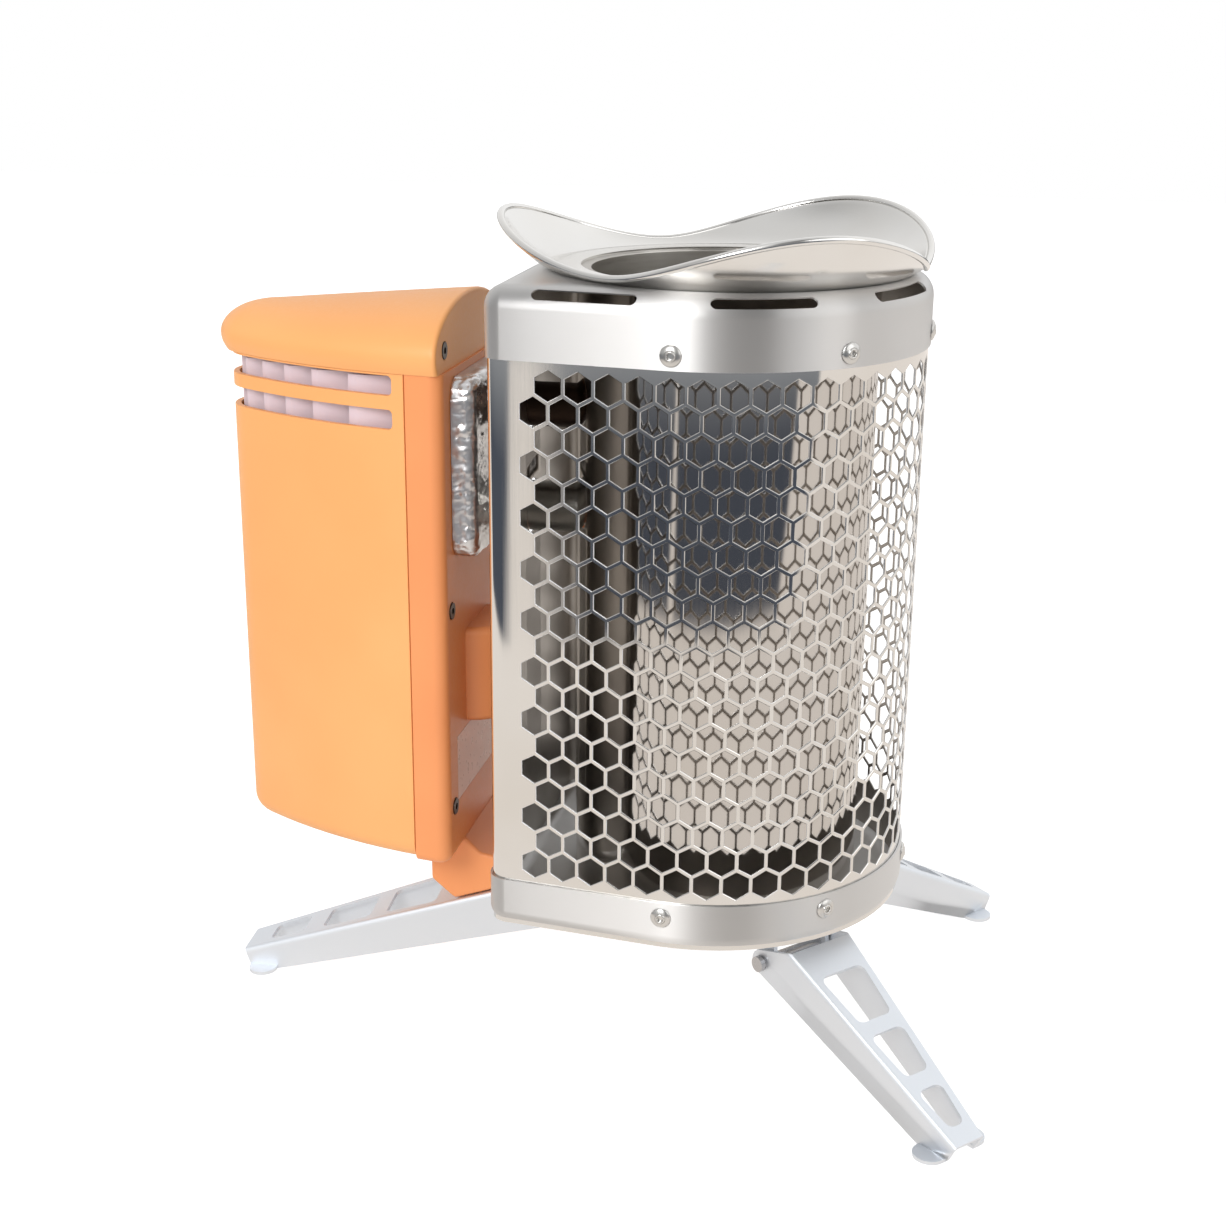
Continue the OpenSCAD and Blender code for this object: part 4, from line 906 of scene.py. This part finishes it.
def side_points(x0, x1, steps, over=0.0):
    """Points of the +Y side between two places along X, moved out by over."""
    a0, a1 = (math.acos((x - SIDE_CX) / (SIDE_R + over)) for x in (x0, x1))
    turns = [a0 + (a1 - a0) * k / steps for k in range(steps + 1)]
    return [(SIDE_CX + (SIDE_R + over) * math.cos(a), SIDE_CY + (SIDE_R + over) * math.sin(a))
            for a in turns]


def box_on(name, half, joint_x, radius, segments):
    """A closed block from MODULE_Z up to LID_Z, its lower edges rounded except the one at joint_x."""
    obj = pull(flat_face(name, [(x, y, MODULE_Z) for x, y in mirrored(half)]), (0, 0, LID_Z - MODULE_Z))
    return bevelled(obj, lambda e: lies_at(e, Z, MODULE_Z) and not lies_at(e, X, AXIS_X + joint_x),
                    radius, segments)


# ---------------------------------------------------------------- housing
HOUSING_ROUND = 6.5
VENT_H, VENT_R = 6.0, 1.5                 # a slot's height and the radius of its corners
VENT_TOP = LID_Z - 3.9                    # the middle of the upper row of vents
VENT_STEP = 10.4
VENT_FRONT, VENT_BACK = SEAM_X - 4, SEAM_X - 104               # where the slots start and end


def tail_half(steps=24):
    """Half the housing's outline: from the seam along the side and around the nose."""
    turns = [NOSE_ANGLE + (math.pi - NOSE_ANGLE) * k / NOSE_STEPS for k in range(1, NOSE_STEPS + 1)]
    return (side_points(SEAM_X, SIDE_CX + SIDE_R * math.cos(NOSE_ANGLE), steps)
            + [(NOSE_X + NOSE_R * math.cos(a), NOSE_R * math.sin(a)) for a in turns])


def vent_cutter(z):
    """A bar with rounded corners, right through both sides."""
    front, rise = VENT_FRONT - VENT_R, VENT_H / 2 - VENT_R
    loop = rounded_loop([(front, z - rise), (front, z + rise), (VENT_BACK, z + rise), (VENT_BACK, z - rise)],
                        VENT_R)
    return prism([(AXIS_X + x, -60, h) for x, h in loop], (0, 120, 0))


housing = box_on("housing", tail_half(), SEAM_X, HOUSING_ROUND, 8)
opened(housing, lambda f: lies_at(f, X, AXIS_X + SEAM_X, 1e-5) or lies_at(f, Z, LID_Z))
use(housing, "SOLIDIFY", thickness=PLASTIC * MM, offset=-1, use_even_offset=True)
cut(housing, *[vent_cutter(VENT_TOP - i * VENT_STEP) for i in (0, 1)])
softened(housing, 0.35)
piece(housing, "rear_housing_moulded", "power_module", "orange_plastic", "rear_housing")


# ---------------------------------------------------------------- cover
COVER_ROUND = 3.2
BOSS_R, BOSS_LEN, BOSS_Z, BOSS_ROUND = 15, 32, 111.5, 2.5      # the upright round boss on the inner face
FOOT_HALF_W = 19
FOOT_FACE = -(BACK_FLAT + PAN_OUT + 0.6)  # the foot ends just short of the pan
FOOT_OUTLINE = [(SEAM_X, MODULE_Z + 4), (SEAM_X, 40), (-FACE_X, 30), (FOOT_FACE, 36), (FOOT_FACE, PAN_Z + 3),
                (-FACE_X + 5, MODULE_Z - 3), (-FACE_X, MODULE_Z + 2)]
FOOT_ROUND = 1.2
LABEL_HALF_W, LABEL_Z0, LABEL_Z1 = 26, 72.5, 94.5              # the label plate's seat
LABEL_DEPTH = 0.4
SCREW_RECESS_R = 2.9
SCREW_SIDE = 29.5                         # from the middle out to the screws
SCREW_HEIGHTS = (72, 138)


def screw_recess(x, y, z):
    """The cutter for a screw head's seat in a face at x."""
    return cylinder(SCREW_RECESS_R, 4, (x, y, z), "X", 32)


def room_for_long_leg():
    """A block whose top lies along the long leg's plate, to cut the foot clear of the leg."""
    under = block(-30, 170, -60, 60, -60, PLATE_LIFT + 0.4)
    under.data.transform(at_pin(LEFT_ANGLE) @ Matrix.Rotation(LONG["slope"], 4, "Y")
                         @ Matrix.Translation(-at_burner()))
    return under


turns = [EDGE_ANGLE * (1 - k / EDGE_STEPS) for k in range(1, EDGE_STEPS + 1)]
corner = [(EDGE_X + FACE_CORNER_R * math.cos(a), EDGE_Y + FACE_CORNER_R * math.sin(a)) for a in turns]
cover_half = side_points(SEAM_X + SEAM_GAP, SIDE_CX + SIDE_R * math.cos(EDGE_ANGLE), 4) + corner
cover = box_on("cover", cover_half, SEAM_X + SEAM_GAP, COVER_ROUND, 6)
boss = cylinder(BOSS_R, BOSS_LEN, (-FACE_X - 1, 0, BOSS_Z))
boss_ends = (BOSS_Z - BOSS_LEN / 2, BOSS_Z + BOSS_LEN / 2)
bevelled(boss, lambda e: any(lies_at(e, Z, end, 1e-5) for end in boss_ends), BOSS_ROUND)
foot = prism([(AXIS_X + x, -FOOT_HALF_W, z) for x, z in FOOT_OUTLINE], (0, 2 * FOOT_HALF_W, 0))
cut(foot, room_for_long_leg())
use(foot, "BEVEL", width=FOOT_ROUND * MM, segments=3, limit_method="ANGLE", angle_limit=rad(40))
cut(cover, boss, foot, operation="UNION")
cut(cover, *[screw_recess(-FACE_X + 1, s * SCREW_SIDE, z) for z in SCREW_HEIGHTS for s in (-1, 1)],
    cylinder(NOZZLE_R + 0.05, 20, (-FACE_X, 0, FAN_Z), "X", 64),
    cylinder(PROBE_R + 0.1, 20, (-FACE_X, 0, PROBE_Z), "X", 64),
    block(-FACE_X - LABEL_DEPTH, -FACE_X + 2, -LABEL_HALF_W, LABEL_HALF_W, LABEL_Z0, LABEL_Z1))
softened(cover, 0.3)
piece(cover, "front_cover_moulded", "power_module", "cover_plastic", "front_cover")


# ---------------------------------------------------------------- lid
LID_WALL = 1.6
LID_OVER = 2.2                            # how far the lid stands out over the housing's sides
LID_NOSE_OVER = 4.0                       # and over its nose
LID_MID = 5.2                             # height of its widest line
LID_SKIRT = 1.8                           # how far its lower edge draws in under that
CREST_H = 21.0                            # its crest at the inner face
CREST_FALL = 0.08                         # how fast the crest falls towards the nose
LID_END_X = -(FACE_X + 0.8)
LID_END_R = 1.4                           # the rounded edge around the lid's flat end
SIDE_LOOP = ((LID_Z, LID_SKIRT), (LID_Z + 0.9, 1.25), (LID_Z + LID_MID / 2, 0.4), (LID_Z + 4, 0.1))
DOME_STEPS = 18


def lid_half():
    """Half the lid's widest outline, from its flat end to the nose."""
    out = side_points(LID_END_X, SIDE_CX + (SIDE_R + LID_OVER) * math.cos(NOSE_ANGLE), 28, LID_OVER)
    for k in range(1, 17):
        a = NOSE_ANGLE + (math.pi - NOSE_ANGLE) * k / 16
        r = NOSE_R + LID_OVER + (LID_NOSE_OVER - LID_OVER) * k / 16
        out.append((NOSE_X + r * math.cos(a), r * math.sin(a)))
    return out


def drawn_in(p, inset, scale):
    """A point of the lid's outline, scaled and drawn in towards its spine by inset."""
    spine_x = max(p[0], NOSE_X)
    out = Vector((p[0] - spine_x, p[1]))
    flat = out * scale * (1 - inset / out.length)
    return (min(spine_x + flat.x, LID_END_X), flat.y)


def lid_skin():
    """The lid's outer rings: its side from the lower edge up, then its dome."""
    outline = mirrored(lid_half())
    rings = [[(*drawn_in(p, skirt, 1), z) for p in outline] for z, skirt in SIDE_LOOP]
    for k in range(DOME_STEPS + 1):
        t = rad(88.5) * k / DOME_STEPS
        rings.append([(*drawn_in(p, 0, math.cos(t)), LID_Z + LID_MID
                       + (CREST_H - CREST_FALL * (-FACE_X - max(p[0], NOSE_X)) - LID_MID) * math.sin(t))
                      for p in outline])
    return rings


def at_lid_end(part):
    """Whether an edge or face lies in the lid's flat end."""
    return lies_at(part, X, AXIS_X + LID_END_X)


lid = welded(lofted("lid", lid_skin()), 0.001)
with mesh_of(lid) as bm:
    top = [e for e in bm.edges if e.is_boundary and all(v.co.z > (LID_Z + 8) * MM for v in e.verts)]
    bmesh.ops.holes_fill(bm, edges=top, sides=0)
    bmesh.ops.dissolve_faces(bm, faces=[f for f in bm.faces if at_lid_end(f)])
    bmesh.ops.recalc_face_normals(bm, faces=bm.faces)
bevelled(lid, lambda e: at_lid_end(e) and any(v.co.z > (LID_Z + 0.01) * MM for v in e.verts), LID_END_R)
use(lid, "SOLIDIFY", thickness=LID_WALL * MM, offset=-1)
cut(lid, *[screw_recess(LID_END_X + 0.8, s * SCREW_SIDE, LID_Z + 6.5) for s in (-1, 1)])
piece(lid, "lid_moulded", "power_module", "orange_plastic", "module_lid")


# ---------------------------------------------------------------- foil pad
FOIL_HALF_W, FOIL_HALF_H, FOIL_THICK, FOIL_ROUND = 28.0, 28.5, 8.0, 6.0
FOIL_Z = 182.5
FOIL_VOXEL = 0.7                          # how finely the pad is meshed before it is creased
CREASES = 190                             # per metre: the larger creases are about 5 mm apart
FINE_CREASES = 2.7                        # the finer ones, times closer
CREASE_DEPTH = 0.8


def foil_pad():
    """A rounded pad, its free faces pushed in along noise; its back stays flat on the cover."""
    y, z = FOIL_HALF_W - FOIL_ROUND, FOIL_HALF_H - FOIL_ROUND
    loop = rounded_loop([(-y, -z), (y, -z), (y, z), (-y, z)], FOIL_ROUND, 8)
    pad = prism([(0, y, z) for y, z in loop], (FOIL_THICK, 0, 0))
    bevelled(pad, lambda e: lies_at(e, X, FOIL_THICK), 3)
    pad.data.transform(Matrix.Translation(at_burner(-FACE_X, 0, FOIL_Z)))
    use(pad, "REMESH", mode="VOXEL", voxel_size=FOIL_VOXEL * MM)
    for v in pad.data.vertices:
        u = Vector((v.co.x, v.co.y, v.co.z * 1.8)) * CREASES
        w = noise.noise(u) * 0.5 + abs(noise.noise(u * FINE_CREASES + Vector((5, 3, 1)))) * 0.8
        lift = v.co.x - (AXIS_X - FACE_X) * MM
        v.co -= v.normal * (w * CREASE_DEPTH + 0.1) * MM * min(1, lift / (2 * MM))
    return pad


pad = foil_pad()
cut(pad, cylinder(NOZZLE_R + 0.2, 40, (-FACE_X, 0, FAN_Z), "X", 48),
    cylinder(PROBE_R + 0.2, 40, (-FACE_X, 0, PROBE_Z), "X", 48))
piece(pad, "foil_wrap", "power_module", "foil", "heat_foil", angle=30)


# ---------------------------------------------------------------- solids that show as they are
for o in frame["nodes"].values():
    slot = next(s["material_slot"] for s in frame["record"]["subparts"] if s["node"] == o.name)
    o.data.materials.clear()
    o.data.materials.append(MATERIALS[slot])


# ---------------------------------------------------------------- floor
# Seen directly, a plain white floor that takes the stove's shadow. Seen in the steel, a pale table whose
# front edge, round in the middle, ends in a dark room, with a narrow runner out to the left and forwards.
TABLE_EDGE = 0.185                        # metres from the origin to the table's straight edge, along -Y
TABLE_SLANT = 0.35                        # how much that edge slants per metre of X
TABLE_ROUND = 0.585                       # the round middle's radius, around ROUND_AT
ROUND_AT = (0.04, 0.1, 0)
RUNNER_TURN = rad(117.5)
RUNNER_START = Vector((0.016, 0.058, 0))
RUNNER_HALF_W = 0.02
RUNNER_LEN = 1.3
EDGE_BLUR = 0.015


def table_material():
    """The table lies where a signed distance, in metres, is over zero: inside its edge, round or runner."""
    mat, t = fresh("white_table")
    path = add(t, "ShaderNodeLightPath")
    place = add(t, "ShaderNodeTexCoord")
    split = add(t, "ShaderNodeSeparateXYZ", inputs={0: (place, "Object")})
    slant = add(t, "ShaderNodeMath", {"operation": "MULTIPLY_ADD"},
                {0: (split, "X"), 1: TABLE_SLANT, 2: (split, "Y")})
    straight = add(t, "ShaderNodeMath", {"operation": "ADD"}, {0: (slant, 0), 1: TABLE_EDGE})
    away = add(t, "ShaderNodeVectorMath", {"operation": "DISTANCE"}, {0: (place, "Object"), 1: ROUND_AT})
    bulge = add(t, "ShaderNodeMath", {"operation": "SUBTRACT"}, {0: TABLE_ROUND, 1: (away, "Value")})
    table = add(t, "ShaderNodeMath", {"operation": "MAXIMUM"}, {0: (straight, 0), 1: (bulge, 0)})

    start = Matrix.Rotation(RUNNER_TURN, 3, "Z") @ RUNNER_START
    runner = add(t, "ShaderNodeMapping", inputs={"Vector": (place, "Object"), "Location": start,
                                                 "Rotation": (0, 0, RUNNER_TURN)})
    lay = add(t, "ShaderNodeSeparateXYZ", inputs={0: (runner, "Vector")})
    off = add(t, "ShaderNodeMath", {"operation": "ABSOLUTE"}, {0: (lay, "Y")})
    across = add(t, "ShaderNodeMath", {"operation": "SUBTRACT"}, {0: RUNNER_HALF_W, 1: (off, 0)})
    along = add(t, "ShaderNodeMath", {"operation": "SUBTRACT"}, {0: RUNNER_LEN, 1: (lay, "X")})
    strip = add(t, "ShaderNodeMath", {"operation": "MINIMUM"}, {0: (across, 0), 1: (along, 0)})
    inside = add(t, "ShaderNodeMath", {"operation": "MAXIMUM"}, {0: (table, 0), 1: (strip, 0)})
    share = add(t, "ShaderNodeMapRange", inputs={"Value": (inside, 0), "From Min": -EDGE_BLUR,
                                                 "From Max": EDGE_BLUR})

    far = add(t, "ShaderNodeMapRange", inputs={"Value": (away, "Value"), "From Min": 1.0, "From Max": 1.4})
    dark = add(t, "ShaderNodeMix", {"data_type": "RGBA"},
               {FACTOR: (far, "Result"), FIRST: linear("#484D57"), SECOND: linear("#85888C")})
    tone = add(t, "ShaderNodeMix", {"data_type": "RGBA"},
               {FACTOR: (share, "Result"), FIRST: (dark, MIXED), SECOND: linear("#E0DAD4")})
    glow = add(t, "ShaderNodeEmission", inputs={"Color": (tone, MIXED), "Strength": 1.28})

    matt = add(t, "ShaderNodeBsdfDiffuse", inputs={"Color": linear("#F4F4F4")})
    lift = add(t, "ShaderNodeMath", {"operation": "MULTIPLY"}, {0: (path, "Is Camera Ray"), 1: 0.6})
    white = add(t, "ShaderNodeEmission", inputs={"Color": (1, 1, 1, 1), "Strength": (lift, 0)})
    lifted = add(t, "ShaderNodeAddShader", inputs={0: (matt, "BSDF"), 1: (white, "Emission")})
    seen = add(t, "ShaderNodeMath", {"operation": "MAXIMUM"},
               {0: (path, "Is Glossy Ray"), 1: (path, "Is Transmission Ray")})
    both = add(t, "ShaderNodeMixShader", inputs={0: (seen, 0), 1: (lifted, 0), 2: (glow, "Emission")})
    add(t, "ShaderNodeOutputMaterial", inputs={"Surface": (both, "Shader")})
    return mat


deselect()
bpy.ops.mesh.primitive_plane_add(size=6, location=(0, 0, 0))
floor = bpy.context.object
floor.name = "floor"
floor.data.materials.append(table_material())


# ---------------------------------------------------------------- light
# A white surround; steel mirrors a studio that is bright to the left of the camera and dark to its right.
STUDIO = [(-180, 0.55), (-148, 0.4), (-122, 0.45), (-112, 0.85), (-92, 0.9), (-76, 0.25), (-50, 0.14),
          (-25, 0.26), (0, 0.7), (30, 0.88), (90, 0.8), (180, 0.55)]     # degrees around, grey level
CEILING = (0.6, 0.6, 0.6, 1)
UNDER_HORIZON = "#2E343B"


def studio():
    """The world: white to the camera, softer white on the object, and the studio in its reflections."""
    world = bpy.data.worlds.new("studio")
    world.use_nodes = True
    t = world.node_tree
    t.nodes.clear()
    path = add(t, "ShaderNodeLightPath")
    place = add(t, "ShaderNodeTexCoord")
    split = add(t, "ShaderNodeSeparateXYZ", inputs={0: (place, "Generated")})
    turn = add(t, "ShaderNodeMath", {"operation": "ARCTAN2"}, {0: (split, "Y"), 1: (split, "X")})
    around = add(t, "ShaderNodeMapRange", inputs={"Value": (turn, 0), "From Min": -math.pi,
                                                  "From Max": math.pi})
    walls = add(t, "ShaderNodeValToRGB", inputs={"Fac": (around, "Result")},
                stops=[((a + 180) / 360, level) for a, level in STUDIO])
    above = add(t, "ShaderNodeMapRange", inputs={"Value": (split, "Z"), "From Min": 0.75, "From Max": 0.98})
    sky = add(t, "ShaderNodeMix", {"data_type": "RGBA"},
              {FACTOR: (above, "Result"), FIRST: (walls, "Color"), SECOND: CEILING})
    below = add(t, "ShaderNodeMapRange", inputs={"Value": (split, "Z"), "From Min": -0.02, "From Max": 0.02})
    room = add(t, "ShaderNodeMix", {"data_type": "RGBA"},
               {FACTOR: (below, "Result"), FIRST: linear(UNDER_HORIZON), SECOND: (sky, MIXED)})
    mirrored_room = add(t, "ShaderNodeBackground", inputs={"Color": (room, MIXED), "Strength": 1.25})
    plain = add(t, "ShaderNodeMapRange", inputs={"Value": (path, "Is Camera Ray"), "To Min": 0.75})
    surround = add(t, "ShaderNodeBackground", inputs={"Color": (1, 1, 1, 1), "Strength": (plain, "Result")})
    seen = add(t, "ShaderNodeMath", {"operation": "MAXIMUM"},
               {0: (path, "Is Glossy Ray"), 1: (path, "Is Transmission Ray")})
    both = add(t, "ShaderNodeMixShader", inputs={0: (seen, 0), 1: (surround, 0), 2: (mirrored_room, 0)})
    add(t, "ShaderNodeOutputWorld", inputs={"Surface": (both, 0)})
    return world


def lamp(name, place, size, power):
    """A white round area lamp aimed at the stove's middle."""
    data = bpy.data.lights.new(name, "AREA")
    data.shape = "DISK"
    data.size = size
    data.energy = power
    obj = bpy.data.objects.new(name, data)
    bpy.context.scene.collection.objects.link(obj)
    obj.location = place
    obj.rotation_mode = "QUATERNION"
    obj.rotation_quaternion = (Vector((0, 0, 0.13)) - Vector(place)).to_track_quat("-Z", "Y")


bpy.context.scene.world = studio()
lamp("key_left", (-0.27, -1.03, 0.75), 0.5, 6.3)
lamp("fill_right", (0.9, -0.5, 0.6), 0.9, 2.5)


# ---------------------------------------------------------------- camera
AZIMUTH, ELEVATION, ROLL = rad(11.32), rad(17.68), rad(0.49)
EYE = (81.3, -569.0, 316.4)               # mm from the burner's axis
LENS, SENSOR = 55.29, 36

back = Vector((math.sin(AZIMUTH) * math.cos(ELEVATION), -math.cos(AZIMUTH) * math.cos(ELEVATION),
               math.sin(ELEVATION)))
right = Vector((math.cos(AZIMUTH), math.sin(AZIMUTH), 0))
up = back.cross(right)
right, up = (right * math.cos(ROLL) + up * math.sin(ROLL), up * math.cos(ROLL) - right * math.sin(ROLL))
camera = bpy.data.objects.new("camera", bpy.data.cameras.new("camera"))
bpy.context.scene.collection.objects.link(camera)
camera.matrix_world = Matrix((right, up, back)).transposed().to_4x4()
camera.matrix_world.translation = at_burner(*EYE)
camera.data.lens = LENS
camera.data.sensor_width = SENSOR
camera.data.clip_start = 0.05
camera.data.clip_end = 20
bpy.context.scene.camera = camera
bpy.context.scene.view_settings.view_transform = "Standard"
